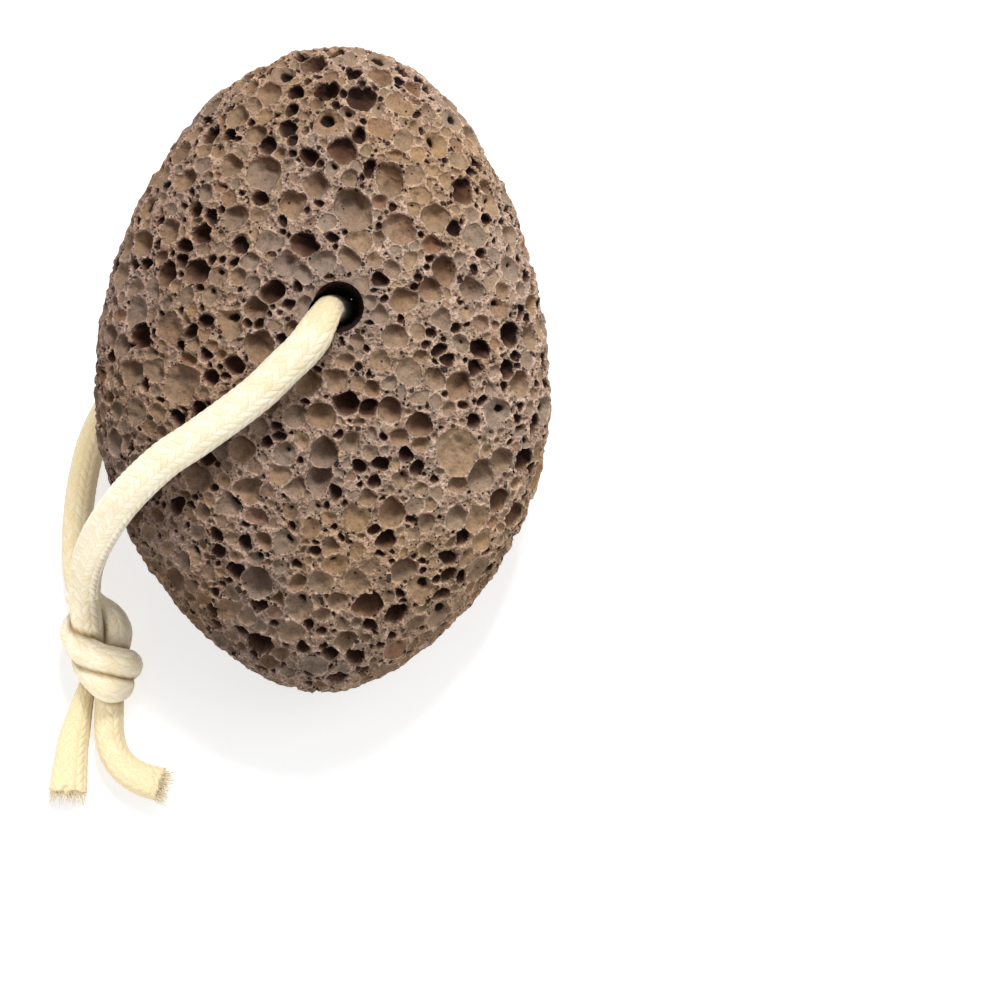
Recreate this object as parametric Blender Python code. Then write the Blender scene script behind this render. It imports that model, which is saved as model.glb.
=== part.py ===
"""A pumice foot stone on a knotted loop of braided cotton cord.

The stone is one egg-shaped lump of foamed lava, covered in burst bubbles and drilled through for
the cord. It lies face up, on a small worn flat near its broad end and on the cord that passes
under it. The cord goes down through the drilled hole, out to the left under the stone, over the
face on the other side, and both ends meet in one overhand knot with two short tails.

Run with: blender --background --python part.py
Units are metres, +Z is up and the stone's narrow end points to +Y.
"""

import math

import bmesh
import bpy
import numpy as np
from mathutils import Matrix

MM = 0.001

# The stone, in its own frame: x across, y towards the narrow end, z out of the upper face.
STONE_LENGTH = 100 * MM
STONE_THICKNESS = 40 * MM
# Half width along the length, as a cubic in t, which is -1 at the broad end and 1 at the narrow one.
HALF_WIDTH_TERMS = (35.3 * MM, -2.4 * MM, -3.6 * MM, 4.5 * MM)
# The narrow end leans to the right by these amounts times t squared and t cubed.
LEAN_TERMS = (0.9 * MM, 1.0 * MM)
# The thickness falls off by these shares times t and t squared.
THIN_TERMS = (0.06, 0.04)

# How the stone lies: narrow end raised, right side down, and the flat that it has worn.
REST_PITCH = math.radians(12)
REST_ROLL = math.radians(6)
WORN_DEPTH = 1.0 * MM
WORN_CLEAR_RADIUS = 7 * MM

# The burst bubbles: each is a pit, and the ridges between them lie on the stone's own form.
CELL_SEED = 7
CELL_CANDIDATES = 16000
CELL_REACH_LARGE = 2.4 * MM
CELL_REACH_SMALL = 1.5 * MM
CELL_CROWDING = 0.9
# How fast the bubbles that are scattered grow smaller, from the first to the last.
CELL_FADING = 20
CELL_DEPTH_SHARE = (0.75, 1.3)
CUP_MIN_REACH = 2.4 * MM
CUP_FLOOR_SHARE = 0.55
CUP_FLOOR_DEPTH = 0.85
RIDGE_ROUGHNESS = 0.12 * MM

# The pits that stand out on the upper face: across, along, reach and depth, in millimetres.
LARGE_PITS = (
    (-1.3, 47.0, 2.2, 2.4),
    (6.3, 41.4, 2.2, 2.6),
    (3.7, 32.8, 2.3, 2.6),
    (10.9, 28.2, 2.4, 2.4),
    (5.3, 24.0, 3.2, 3.0),
    (-0.4, 27.5, 2.2, 2.2),
    (-2.2, 18.5, 2.1, 2.6),
    (-18.5, 14.4, 2.1, 2.4),
    (-23.2, 14.2, 1.9, 2.2),
    (-8.9, 3.0, 2.5, 2.4),
    (-9.4, 8.9, 2.1, 2.2),
    (-8.3, 29.5, 3.0, 2.2),
    (-4.1, 24.8, 2.3, 2.0),
    (1.1, -13.1, 2.4, 2.4),
    (0.2, -17.2, 2.4, 2.4),
    (0.6, -7.6, 2.2, 2.2),
    (11.0, -6.8, 2.1, 2.2),
    (15.4, -8.9, 2.0, 2.2),
    (19.3, 14.4, 2.1, 2.2),
    (16.9, 11.6, 2.0, 2.0),
    (23.3, 11.9, 2.0, 2.0),
    (22.2, 26.9, 2.0, 2.4),
    (12.3, 20.9, 2.6, 1.8),
    (17.9, 22.5, 2.3, 1.8),
    (-20.7, 28.6, 2.2, 1.8),
    (-12.8, 22.6, 2.2, 1.8),
    (24.7, -16.7, 2.6, 2.4),
    (27.4, -20.4, 2.0, 2.2),
    (10.2, -26.3, 1.8, 2.4),
    (-10.5, -18.8, 2.3, 2.0),
    (-18.2, -16.8, 2.2, 1.8),
    (-28.6, -0.9, 2.3, 1.8),
    (-20.9, -2.7, 3.0, 1.6),
    (-9.3, -32.6, 2.6, 2.4),
    (7.4, -36.4, 2.3, 2.6),
    (4.0, -41.9, 2.1, 2.0),
    (13.0, -31.1, 2.3, 2.0),
    (21.2, -13.1, 3.6, 1.4),
)

# The drilled hole, straight through the stone's thickness, and its place on the face.
HOLE_PLACE = (3.1 * MM, 8.9 * MM)
HOLE_RADIUS = 3.9 * MM
HOLE_SIDES = 28

# The cord, and the gap that it keeps from whatever it touches.
CORD_DIAMETER = 4.8 * MM
CORD_POINT_SPACING = 4.4 * MM
CORD_SIDES_LEVEL = 2
TOUCH_GAP = 0.3 * MM
WORN_GROOVE_GAP = 0.35 * MM
# The cord has worn its groove along this many of its tube's points, from inside the hole outwards.
GROOVE_POINTS = 9
ROUTE_STEPS_PER_POINT = 40
MERGE_DISTANCE = 0.001 * MM

# The cord's route, in millimetres, in the frame that the whole part stands in.
FRONT_ROUTE = (
    (3.3, 8.7, 23.7),
    (3.6, 7.6, 28.6),
    (3.9, 6.6, 33.0),
    (4.0, 5.9, 36.2),
    (4.2, 5.3, 39.0),
    (4.3, 3.8, 42.0),
    (3.6, 1.7, 43.8),
    (2.5, -0.5, 44.5),
    (0.6, -2.6, 44.4),
    (-1.8, -4.7, 44.2),
    (-6.9, -9.0, 43.5),
    (-15.8, -14.6, 40.9),
    (-21.0, -17.2, 38.6),
    (-25.6, -20.0, 35.3),
    (-29.2, -22.3, 31.5),
    (-32.5, -24.4, 26.2),
    (-35.0, -25.9, 21.0),
    (-36.6, -26.9, 16.9),
    (-37.9, -28.2, 13.5),
    (-38.7, -29.9, 11.2),
    (-39.1, -32.0, 9.7),
)
BACK_ROUTE = (
    (3.3, 8.8, 22.8),
    (2.8, 9.9, 17.5),
    (2.3, 10.9, 12.6),
    (1.6, 11.5, 9.1),
    (-0.1, 12.0, 6.1),
    (-2.7, 12.2, 3.9),
    (-6.0, 12.1, 2.7),
    (-9.5, 11.7, 2.45),
    (-14.0, 11.1, 2.45),
    (-20.5, 9.8, 2.45),
    (-27.0, 7.6, 2.45),
    (-32.8, 4.1, 2.45),
    (-37.0, -0.5, 2.45),
    (-39.5, -5.6, 2.45),
    (-40.9, -11.0, 2.45),
    (-41.7, -17.0, 2.45),
    (-41.9, -22.5, 2.45),
    (-41.6, -27.4, 2.45),
    (-40.8, -31.2, 2.45),
)
TAIL_LEFT_ROUTE = (
    (-41.2, -45.4, 2.6),
    (-41.5, -48.4, 2.5),
    (-41.7, -51.2, 2.45),
    (-41.9, -54.1, 2.45),
    (-42.2, -58.1, 2.45),
    (-42.6, -62.5, 2.45),
)
TAIL_RIGHT_ROUTE = (
    (-36.1, -47.2, 3.0),
    (-36.2, -49.6, 2.6),
    (-36.2, -52.2, 2.45),
    (-35.8, -54.8, 2.45),
    (-34.8, -57.2, 2.45),
    (-33.0, -59.2, 2.45),
    (-30.6, -60.6, 2.45),
    (-27.9, -61.4, 2.45),
)

# The knot's turns: the two leads that come in, and the two bands that wrap round them.
KNOT_TURNS = (
    ((-39.1, -32.1, 9.6), (-39.1, -35.2, 7.9), (-38.9, -38.2, 6.5), (-38.5, -41.9, 5.2), (-37.6, -46.0, 4.2)),
    ((-40.7, -31.3, 2.5), (-38.6, -33.3, 2.9), (-36.2, -35.0, 3.7), (-34.9, -37.4, 4.2), (-35.3, -40.3, 4.6)),
    (
        (-41.4, -34.6, 2.9),
        (-41.4, -37.2, 4.6),
        (-39.8, -40.3, 7.3),
        (-36.8, -42.3, 8.4),
        (-34.0, -42.9, 7.4),
        (-33.0, -42.8, 4.8),
        (-35.0, -42.8, 3.0),
    ),
    (
        (-41.0, -42.2, 3.2),
        (-40.0, -44.1, 5.2),
        (-38.0, -45.7, 6.8),
        (-35.6, -46.9, 6.9),
        (-34.4, -46.3, 5.0),
        (-34.8, -45.0, 2.9),
    ),
)
KNOT_VOXEL = 1.25 * MM
KNOT_TURN_RADIUS = 2.45 * MM

PUMICE_COLOUR = (0.235, 0.188, 0.158, 1.0)
COTTON_COLOUR = (0.80, 0.71, 0.52, 1.0)
PUMICE_ROUGHNESS = 0.92
COTTON_ROUGHNESS = 0.85


def clear_scene():
    """Removes whatever the file already holds."""
    for found in list(bpy.data.objects):
        bpy.data.objects.remove(found, do_unlink=True)


def make_material(name, colour, roughness):
    """A plain Principled material."""
    material = bpy.data.materials.new(name)
    material.use_nodes = True
    shader = material.node_tree.nodes["Principled BSDF"]
    shader.inputs["Base Color"].default_value = colour
    shader.inputs["Roughness"].default_value = roughness
    shader.inputs["Metallic"].default_value = 0.0
    material.diffuse_color = colour
    return material


def add_object(name, data, material=None, parent=None):
    """Links a new object that holds this mesh or curve."""
    made = bpy.data.objects.new(name, data)
    bpy.context.scene.collection.objects.link(made)
    if material is not None:
        data.materials.append(material)
    made.parent = parent
    return made


def hide_cutter(cutter):
    """Marks an object as a cutting shape, which isn't part of the model."""
    cutter.hide_render = True
    cutter.display_type = "WIRE"


def cut(target, cutter, name):
    """Takes the cutter's shape out of the target."""
    hide_cutter(cutter)
    modifier = target.modifiers.new(name, "BOOLEAN")
    modifier.operation = "DIFFERENCE"
    modifier.solver = "EXACT"
    modifier.object = cutter


def polynomial(terms, value):
    """The sum of each term times the value raised to the term's place."""
    return sum(term * value**power for power, term in enumerate(terms))


def half_width(t):
    return polynomial(HALF_WIDTH_TERMS, t)


def half_thickness(t):
    return STONE_THICKNESS / 2 * (1 - polynomial((0.0, *THIN_TERMS), t))


def lean(t):
    return polynomial((0.0, 0.0, *LEAN_TERMS), t)


def stone_points(directions):
    """Points of the smooth stone: an ellipsoid whose width, lean and thickness vary along it."""
    across, along, up = directions.T
    return np.column_stack(
        (
            half_width(along) * across + lean(along),
            STONE_LENGTH / 2 * along,
            half_thickness(along) * up,
        )
    )


def stone_normals(directions):
    """Outward directions of the smooth stone, taken as those of the ellipsoid that fits there."""
    across, along, up = directions.T
    normals = np.column_stack((across / half_width(along), along / (STONE_LENGTH / 2), up / half_thickness(along)))
    return unit(normals)


def unit(vectors):
    return vectors / np.linalg.norm(vectors, axis=-1, keepdims=True)


def direction_at(x, y):
    """The direction whose point on the upper face lies over this place."""
    along = y / (STONE_LENGTH / 2)
    across = (x - lean(along)) / half_width(along)
    return np.array((across, along, math.sqrt(max(0.0, 1 - across**2 - along**2))))


def resting_turn():
    """The turn from the stone's own frame to the way that it lies."""
    return Matrix.Rotation(REST_ROLL, 3, "Y") @ Matrix.Rotation(REST_PITCH, 3, "X")


def resting_height(directions):
    """How far the stone's centre is above the surface, with the worn flat cut off."""
    down = np.array(resting_turn())[2]
    return -(stone_points(directions) @ down).min() - WORN_DEPTH


def lowest_point(directions):
    """The middle of the worn flat, on the smooth stone."""
    down = np.array(resting_turn())[2]
    points = stone_points(directions)
    return points[np.argmin(points @ down)]


def even_directions(count):
    """Directions spread evenly over a sphere along a golden spiral."""
    step = np.arange(count) + 0.5
    height = 1 - 2 * step / count
    ring = np.sqrt(1 - height**2)
    turn = step * math.pi * (3 - math.sqrt(5))
    return np.column_stack((ring * np.cos(turn), height, ring * np.sin(turn)))


def scatter_cells(rng):
    """Bubble centres: the large pits first, then ever smaller ones wherever there is room."""
    directions = [direction_at(x * MM, y * MM) for x, y, _, _ in LARGE_PITS]
    reaches = [reach * MM for _, _, reach, _ in LARGE_PITS]
    depths = [depth * MM for _, _, _, depth in LARGE_PITS]
    tries = unit(rng.normal(size=(CELL_CANDIDATES, 3)))
    places = stone_points(tries)
    shares = rng.uniform(*CELL_DEPTH_SHARE, CELL_CANDIDATES)
    kept = stone_points(np.array(directions))
    kept_reach = np.array(reaches)
    for number, place in enumerate(places):
        fading = (1 - number / CELL_CANDIDATES) ** CELL_FADING
        reach = CELL_REACH_SMALL + (CELL_REACH_LARGE - CELL_REACH_SMALL) * fading
        room = np.linalg.norm(kept - place, axis=1) - CELL_CROWDING * (kept_reach + reach)
        if room.min() < 0:
            continue
        kept = np.vstack((kept, place))
        kept_reach = np.append(kept_reach, reach)
        directions.append(tries[number])
        depths.append(reach * shares[number])
    return np.array(directions), kept_reach, np.array(depths)


def bubble_net(directions):
    """Joins neighbouring bubble centres into triangles, and gives each edge with its two triangles."""
    net = bmesh.new()
    for direction in directions:
        net.verts.new(direction)
    bmesh.ops.convex_hull(net, input=net.verts[:])
    net.verts.index_update()
    for vertex, point in zip(net.verts, stone_points(directions)):
        vertex.co = point
    bmesh.ops.beautify_fill(net, faces=net.faces[:], edges=net.edges[:], method="ANGLE")
    net.faces.index_update()
    triangles = np.array([[vertex.index for vertex in face.verts] for face in net.faces])
    edges = [
        (edge.verts[0].index, edge.verts[1].index, edge.link_faces[0].index, edge.link_faces[1].index)
        for edge in net.edges
    ]
    net.free()
    return triangles, edges


class PittedSkin:
    """The stone's surface: ridges round every bubble, with its floor sunk inside them."""

    def __init__(self, directions, reaches, depths, rng):
        triangles, self.edges = bubble_net(directions)
        self.points = []
        self.faces = []
        self.cups = reaches > CUP_MIN_REACH
        inward = -stone_normals(directions)
        surface = stone_points(directions)
        self.centres = self.add_points(surface + inward * depths[:, None])
        ridge_directions = unit(directions[triangles].mean(axis=1))
        ridges = stone_points(ridge_directions)
        rough = rng.uniform(-1, 0.5, len(ridges))[:, None] * RIDGE_ROUGHNESS
        self.ridges = self.add_points(ridges + stone_normals(ridge_directions) * rough)
        self.surface = surface
        self.sink = inward * depths[:, None] * CUP_FLOOR_DEPTH
        self.floor_points = {}
        for one, other, left, right in self.edges:
            self.add_side(one, left, right)
            self.add_side(other, right, left)

    def add_points(self, points):
        """Adds points and returns their numbers."""
        first = len(self.points)
        self.points.extend(points)
        return range(first, len(self.points))

    def floor_point(self, cell, ridge):
        """The point of a cup's floor that lies towards one corner of its ridge."""
        key = (cell, ridge)
        if key not in self.floor_points:
            corner = self.points[self.ridges[ridge]]
            place = self.surface[cell] + (corner - self.surface[cell]) * CUP_FLOOR_SHARE
            self.floor_points[key] = self.add_points([place + self.sink[cell]])[0]
        return self.floor_points[key]

    def add_side(self, cell, start, end):
        """One side of a bubble, from its floor's middle up to one stretch of ridge."""
        ridge = (self.ridges[start], self.ridges[end])
        if not self.cups[cell]:
            self.faces.append((self.centres[cell], *ridge))
            return
        floor = (self.floor_point(cell, start), self.floor_point(cell, end))
        self.faces.append((self.centres[cell], *floor))
        self.faces.append((floor[0], ridge[0], ridge[1]))
        self.faces.append((floor[0], ridge[1], floor[1]))


def tidy_mesh(name, points, faces):
    """A mesh from points and triangles, with every face turned outwards."""
    shape = bmesh.new()
    made = [shape.verts.new(point) for point in points]
    for face in faces:
        shape.faces.new([made[number] for number in face])
    bmesh.ops.recalc_face_normals(shape, faces=shape.faces[:])
    mesh = bpy.data.meshes.new(name)
    shape.to_mesh(mesh)
    shape.free()
    return mesh


def add_cylinder(name, radius, sides, length):
    """A closed cylinder about Z."""
    shape = bmesh.new()
    bmesh.ops.create_cone(
        shape, cap_ends=True, cap_tris=False, segments=sides, radius1=radius, radius2=radius, depth=length
    )
    mesh = bpy.data.meshes.new(name)
    shape.to_mesh(mesh)
    shape.free()
    return add_object(name, mesh)


def add_slab(name, width, height, top):
    """A box centred on Z whose upper face is at this height."""
    shape = bmesh.new()
    bmesh.ops.create_cube(shape, size=1.0)
    place = Matrix.Translation((0, 0, top - height / 2)) @ Matrix.Diagonal((width, width, height, 1))
    shape.transform(place)
    mesh = bpy.data.meshes.new(name)
    shape.to_mesh(mesh)
    shape.free()
    return add_object(name, mesh)


def smooth_route(route, spacing, overrun=0.0):
    """Points at about this spacing on a smooth curve through a route given in millimetres."""
    points = np.array(route) * MM
    knots = np.concatenate(((0,), np.cumsum(np.sqrt(np.linalg.norm(np.diff(points, axis=0), axis=1)))))
    ghosts = np.vstack((2 * points[0] - points[1], points, 2 * points[-1] - points[-2]))
    slopes = (ghosts[2:] - ghosts[:-2]) / np.gradient(knots)[:, None] / 2
    fine = np.linspace(0, knots[-1], ROUTE_STEPS_PER_POINT * len(points))
    piece = np.clip(np.searchsorted(knots, fine, side="right") - 1, 0, len(points) - 2)
    span = (knots[piece + 1] - knots[piece])[:, None]
    share = (fine - knots[piece])[:, None] / span
    curve = (
        (2 * share**3 - 3 * share**2 + 1) * points[piece]
        + (share**3 - 2 * share**2 + share) * span * slopes[piece]
        + (3 * share**2 - 2 * share**3) * points[piece + 1]
        + (share**3 - share**2) * span * slopes[piece + 1]
    )
    run = np.concatenate(((0,), np.cumsum(np.linalg.norm(np.diff(curve, axis=0), axis=1))))
    count = max(3, round(run[-1] / spacing) + 1)
    stops = np.linspace(0, run[-1], count)
    even = np.column_stack([np.interp(stops, run, column) for column in curve.T])
    even[0] -= unit(even[1] - even[0]) * overrun
    even[-1] += unit(even[-1] - even[-2]) * overrun
    return even


def tube_curve(name, points, radius):
    """A round closed tube along these points."""
    curve = bpy.data.curves.new(name, "CURVE")
    curve.dimensions = "3D"
    curve.bevel_depth = radius
    curve.bevel_resolution = CORD_SIDES_LEVEL
    curve.use_fill_caps = True
    spline = curve.splines.new("POLY")
    spline.points.add(len(points) - 1)
    spline.points.foreach_set("co", np.column_stack((points, np.ones(len(points)))).ravel())
    spline.use_smooth = True
    return curve


def add_cord(name, route, material):
    """One stretch of cord as a tube."""
    points = smooth_route(route, CORD_POINT_SPACING)
    return add_object(name, tube_curve(name, points, CORD_DIAMETER / 2), material)


def tube_mesh(name, points, radius):
    """The same tube as a mesh, for cutting and for the knot."""
    holder = bpy.data.objects.new(name, tube_curve(name, points, radius))
    mesh = bpy.data.meshes.new_from_object(holder)
    bpy.data.objects.remove(holder)
    shape = bmesh.new()
    shape.from_mesh(mesh)
    bmesh.ops.remove_doubles(shape, verts=shape.verts[:], dist=MERGE_DISTANCE)
    bmesh.ops.recalc_face_normals(shape, faces=shape.faces[:])
    shape.to_mesh(mesh)
    shape.free()
    return mesh


def add_room_cutter(name, points, gap):
    """The room that a stretch of cord needs, with this gap all round it."""
    return add_object(name, tube_mesh(name, points, CORD_DIAMETER / 2 + gap))


def add_stone(material):
    """The pitted stone, drilled, grooved by the cord and flat where it rests."""
    rng = np.random.default_rng(CELL_SEED)
    spread = even_directions(CELL_CANDIDATES)
    centre = add_object("stone_centre", None)
    centre.location = (0, 0, resting_height(spread))
    centre.rotation_euler = (REST_PITCH, REST_ROLL, 0)
    directions, reaches, depths = scatter_cells(rng)
    from_flat = np.linalg.norm(stone_points(directions) - lowest_point(spread), axis=1)
    depths = np.where(from_flat < WORN_CLEAR_RADIUS, 0.0, depths)
    skin = PittedSkin(directions, reaches, depths, rng)
    stone = add_object("stone", tidy_mesh("stone", skin.points, skin.faces), material, centre)
    drill = add_cylinder("hole_drill", HOLE_RADIUS, HOLE_SIDES, 2 * STONE_THICKNESS)
    drill.parent = centre
    drill.location = (*HOLE_PLACE, 0)
    cut(stone, drill, "drilled_hole")
    for name, route in (("front", FRONT_ROUTE), ("back", BACK_ROUTE)):
        points = smooth_route(route, CORD_POINT_SPACING)[:GROOVE_POINTS]
        cut(stone, add_room_cutter(f"{name}_room", points, WORN_GROOVE_GAP), f"{name}_groove")
    cut(stone, add_slab("worn_away", 2 * STONE_LENGTH, STONE_THICKNESS, 0.0), "worn_flat")
    return stone


def add_knot(material):
    """The overhand knot: its turns grown together, with room for the cord's ends."""
    shape = bmesh.new()
    for number, turn in enumerate(KNOT_TURNS):
        piece = tube_mesh(f"turn_{number}", smooth_route(turn, KNOT_TURN_RADIUS), KNOT_TURN_RADIUS)
        shape.from_mesh(piece)
    mesh = bpy.data.meshes.new("cord_knot")
    shape.to_mesh(mesh)
    shape.free()
    knot = add_object("cord_knot", mesh, material)
    grown = knot.modifiers.new("grown_together", "REMESH")
    grown.mode = "VOXEL"
    grown.voxel_size = KNOT_VOXEL
    grown.use_smooth_shade = True
    leads = {
        "front": FRONT_ROUTE,
        "back": BACK_ROUTE,
        "left_tail": TAIL_LEFT_ROUTE,
        "right_tail": TAIL_RIGHT_ROUTE,
    }
    for name, route in leads.items():
        points = smooth_route(route, CORD_POINT_SPACING, TOUCH_GAP)
        cut(knot, add_room_cutter(f"knot_{name}_room", points, TOUCH_GAP), f"{name}_room")
    return knot


def main():
    clear_scene()
    pumice = make_material("pumice", PUMICE_COLOUR, PUMICE_ROUGHNESS)
    cotton = make_material("cotton", COTTON_COLOUR, COTTON_ROUGHNESS)
    add_stone(pumice)
    add_cord("cord_front_strand", FRONT_ROUTE, cotton)
    add_cord("cord_back_strand", BACK_ROUTE, cotton)
    add_cord("cord_tail_left", TAIL_LEFT_ROUTE, cotton)
    add_cord("cord_tail_right", TAIL_RIGHT_ROUTE, cotton)
    add_knot(cotton)


main()
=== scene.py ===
"""The looks of a pumice foot stone on its knotted loop of braided cotton cord.

The stone is one closed skin: an egg-shaped form whose surface is sunk wherever a bubble of the
foamed lava has burst, with thin ridges left standing between the bubbles. The cord is a set of
braided tubes that follow the cord's own route through the stone, under it and into the knot.

Lengths inside the geometry functions are in millimetres, and are turned into metres when a mesh is made.
"""

import math

import bpy
import numpy as np
from bpy.props import FloatProperty, FloatVectorProperty, IntProperty, PointerProperty
from mathutils import Matrix, Vector


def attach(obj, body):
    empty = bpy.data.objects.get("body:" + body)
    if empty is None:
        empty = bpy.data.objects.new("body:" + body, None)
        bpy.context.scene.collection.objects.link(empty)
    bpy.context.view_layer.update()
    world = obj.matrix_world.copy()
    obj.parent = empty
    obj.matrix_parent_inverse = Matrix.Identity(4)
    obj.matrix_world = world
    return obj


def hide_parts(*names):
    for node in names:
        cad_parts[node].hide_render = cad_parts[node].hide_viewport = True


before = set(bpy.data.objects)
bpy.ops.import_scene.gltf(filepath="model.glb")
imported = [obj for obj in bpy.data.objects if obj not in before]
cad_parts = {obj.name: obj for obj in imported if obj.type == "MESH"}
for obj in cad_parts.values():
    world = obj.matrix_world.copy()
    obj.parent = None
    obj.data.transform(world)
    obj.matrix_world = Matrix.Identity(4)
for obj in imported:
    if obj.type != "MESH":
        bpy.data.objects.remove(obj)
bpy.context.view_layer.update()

bl_info = {
    "name": "Pumice Foot Stone",
    "version": (1, 0, 0),
    "blender": (4, 5, 0),
    "location": "View3D > Sidebar > Foot Stone",
    "description": "Builds the skin of a pumice foot stone and its braided cord",
    "category": "Add Mesh",
}

MM = 0.001
FAR = 1e3

# The stone's form, in its own frame: x across, y towards the narrow end, z out of the upper face.
STONE_LENGTH = 100.0
STONE_THICKNESS = 40.0
HALF_WIDTH_TERMS = (35.3, -2.4, -3.6, 4.5)
LEAN_TERMS = (0.9, 1.0)
THIN_TERMS = (0.06, 0.04)

# How it lies: narrow end raised, right side down, with the flat that it has worn.
REST_PITCH = math.radians(12)
REST_ROLL = math.radians(6)
WORN_DEPTH = 1.0
WORN_CLEAR_RADIUS = 7.0

# The skin's grid: steps across, along and up a box that is blown up onto the form.
GRID_STEPS = (128, 172, 84)
GRID_UPWARD_SHIFT = 0.2
GRID_UPWARD_GRADING = 0.6

# The drilled hole and the ring of grid steps that is bent round it.
HOLE_PLACE = (3.1, 8.9)
HOLE_RADIUS = 3.9
HOLE_BLOCK = 20
HOLE_BEND_RINGS = 14
HOLE_ROWS = 40
HOLE_RIM_ROUNDING = 0.35
HOLE_WAIST = 2.25
# The hole's wall counts as this deep for its reach, so the finish paints it in near-black shade.
HOLE_DARK = 1.2

# The pits that stand out on the upper face: across, along, reach, depth.
LARGE_PITS = (
    (-1.3, 47.0, 2.2, 2.4),
    (6.3, 41.4, 2.2, 2.6),
    (3.7, 32.8, 2.3, 2.6),
    (10.9, 28.2, 2.4, 2.4),
    (5.3, 24.0, 3.2, 3.0),
    (-0.4, 27.5, 2.2, 2.2),
    (-2.2, 18.5, 2.1, 2.6),
    (-18.5, 14.4, 2.1, 2.4),
    (-23.2, 14.2, 1.9, 2.2),
    (-8.9, 3.0, 2.5, 2.4),
    (-9.4, 8.9, 2.1, 2.2),
    (-8.3, 29.5, 3.0, 2.2),
    (-4.1, 24.8, 2.3, 2.0),
    (1.1, -13.1, 2.4, 2.4),
    (0.2, -17.2, 2.4, 2.4),
    (0.6, -7.6, 2.2, 2.2),
    (11.0, -6.8, 2.1, 2.2),
    (15.4, -8.9, 2.0, 2.2),
    (19.3, 14.4, 2.1, 2.2),
    (16.9, 11.6, 2.0, 2.0),
    (23.3, 11.9, 2.0, 2.0),
    (22.2, 26.9, 2.0, 2.4),
    (12.3, 20.9, 2.6, 1.8),
    (17.9, 22.5, 2.3, 1.8),
    (-20.7, 28.6, 2.2, 1.8),
    (-12.8, 22.6, 2.2, 1.8),
    (24.7, -16.7, 2.6, 2.4),
    (27.4, -20.4, 2.0, 2.2),
    (10.2, -26.3, 1.8, 2.4),
    (-10.5, -18.8, 2.3, 2.0),
    (-18.2, -16.8, 2.2, 1.8),
    (-28.6, -0.9, 2.3, 1.8),
    (-20.9, -2.7, 3.0, 1.6),
    (-9.3, -32.6, 2.6, 2.4),
    (7.4, -36.4, 2.3, 2.6),
    (4.0, -41.9, 2.1, 2.0),
    (13.0, -31.1, 2.3, 2.0),
    (21.2, -13.1, 3.6, 1.4),
    (29.9, -22.6, 2.2, 2.4),
)

# The other bubbles, from large to small: largest and smallest reach, and how many places are tried.
BUBBLE_CLASSES = ((2.3, 1.5, 800), (1.5, 1.0, 4200), (1.0, 0.6, 14000), (0.6, 0.35, 30000))
BUBBLE_CROWDING = 0.87
BUBBLE_SEED = 11
# The bubbles were drawn out by the lava's flow: how far their depths lean, towards the narrow end and the right.
BUBBLE_LEAN = 0.42
BUBBLE_SWING = (0.0, 1.1)

# The cord's route, in millimetres, in the frame that the whole part stands in.
FRONT_ROUTE = (
    (3.3, 8.7, 23.7),
    (3.5, 7.6, 28.6),
    (3.6, 6.6, 33.0),
    (3.5, 5.8, 36.2),
    (3.4, 5.0, 39.0),
    (3.3, 3.4, 42.0),
    (2.6, 1.3, 43.8),
    (1.6, -0.9, 44.6),
    (-0.1, -2.9, 44.5),
    (-2.3, -4.9, 44.3),
    (-6.9, -9.0, 43.5),
    (-15.8, -14.6, 40.9),
    (-21.0, -17.2, 38.6),
    (-25.6, -20.0, 35.3),
    (-29.2, -22.3, 31.5),
    (-32.5, -24.4, 26.2),
    (-35.0, -25.9, 21.0),
    (-36.6, -26.9, 16.9),
    (-37.9, -28.2, 13.5),
    (-38.7, -29.9, 11.2),
    (-39.1, -32.0, 9.7),
)
BACK_ROUTE = (
    (3.3, 8.8, 22.8),
    (2.8, 9.9, 17.5),
    (2.3, 10.9, 12.6),
    (1.6, 11.5, 9.1),
    (-0.1, 12.0, 6.1),
    (-2.7, 12.2, 3.9),
    (-6.0, 12.1, 2.7),
    (-9.5, 11.7, 2.45),
    (-14.0, 11.1, 2.45),
    (-20.5, 9.8, 2.45),
    (-27.0, 7.6, 2.45),
    (-32.8, 4.1, 2.45),
    (-37.0, -0.5, 2.45),
    (-39.5, -5.6, 2.45),
    (-40.9, -11.0, 2.45),
    (-41.7, -17.0, 2.45),
    (-41.9, -22.5, 2.45),
    (-41.6, -27.4, 2.45),
    (-40.8, -31.2, 2.45),
)
TAIL_LEFT_ROUTE = (
    (-39.2, -44.2, 3.4),
    (-40.2, -47.5, 2.8),
    (-41.1, -51.0, 2.4),
    (-41.9, -54.6, 2.3),
    (-42.3, -58.4, 2.2),
    (-42.6, -62.2, 2.1),
)
TAIL_RIGHT_ROUTE = (
    (-36.1, -47.2, 3.0),
    (-36.2, -49.6, 2.6),
    (-36.2, -52.2, 2.45),
    (-35.8, -54.8, 2.45),
    (-34.8, -57.2, 2.45),
    (-33.0, -59.2, 2.45),
    (-30.6, -60.6, 2.45),
    (-27.9, -61.4, 2.45),
)
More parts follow.
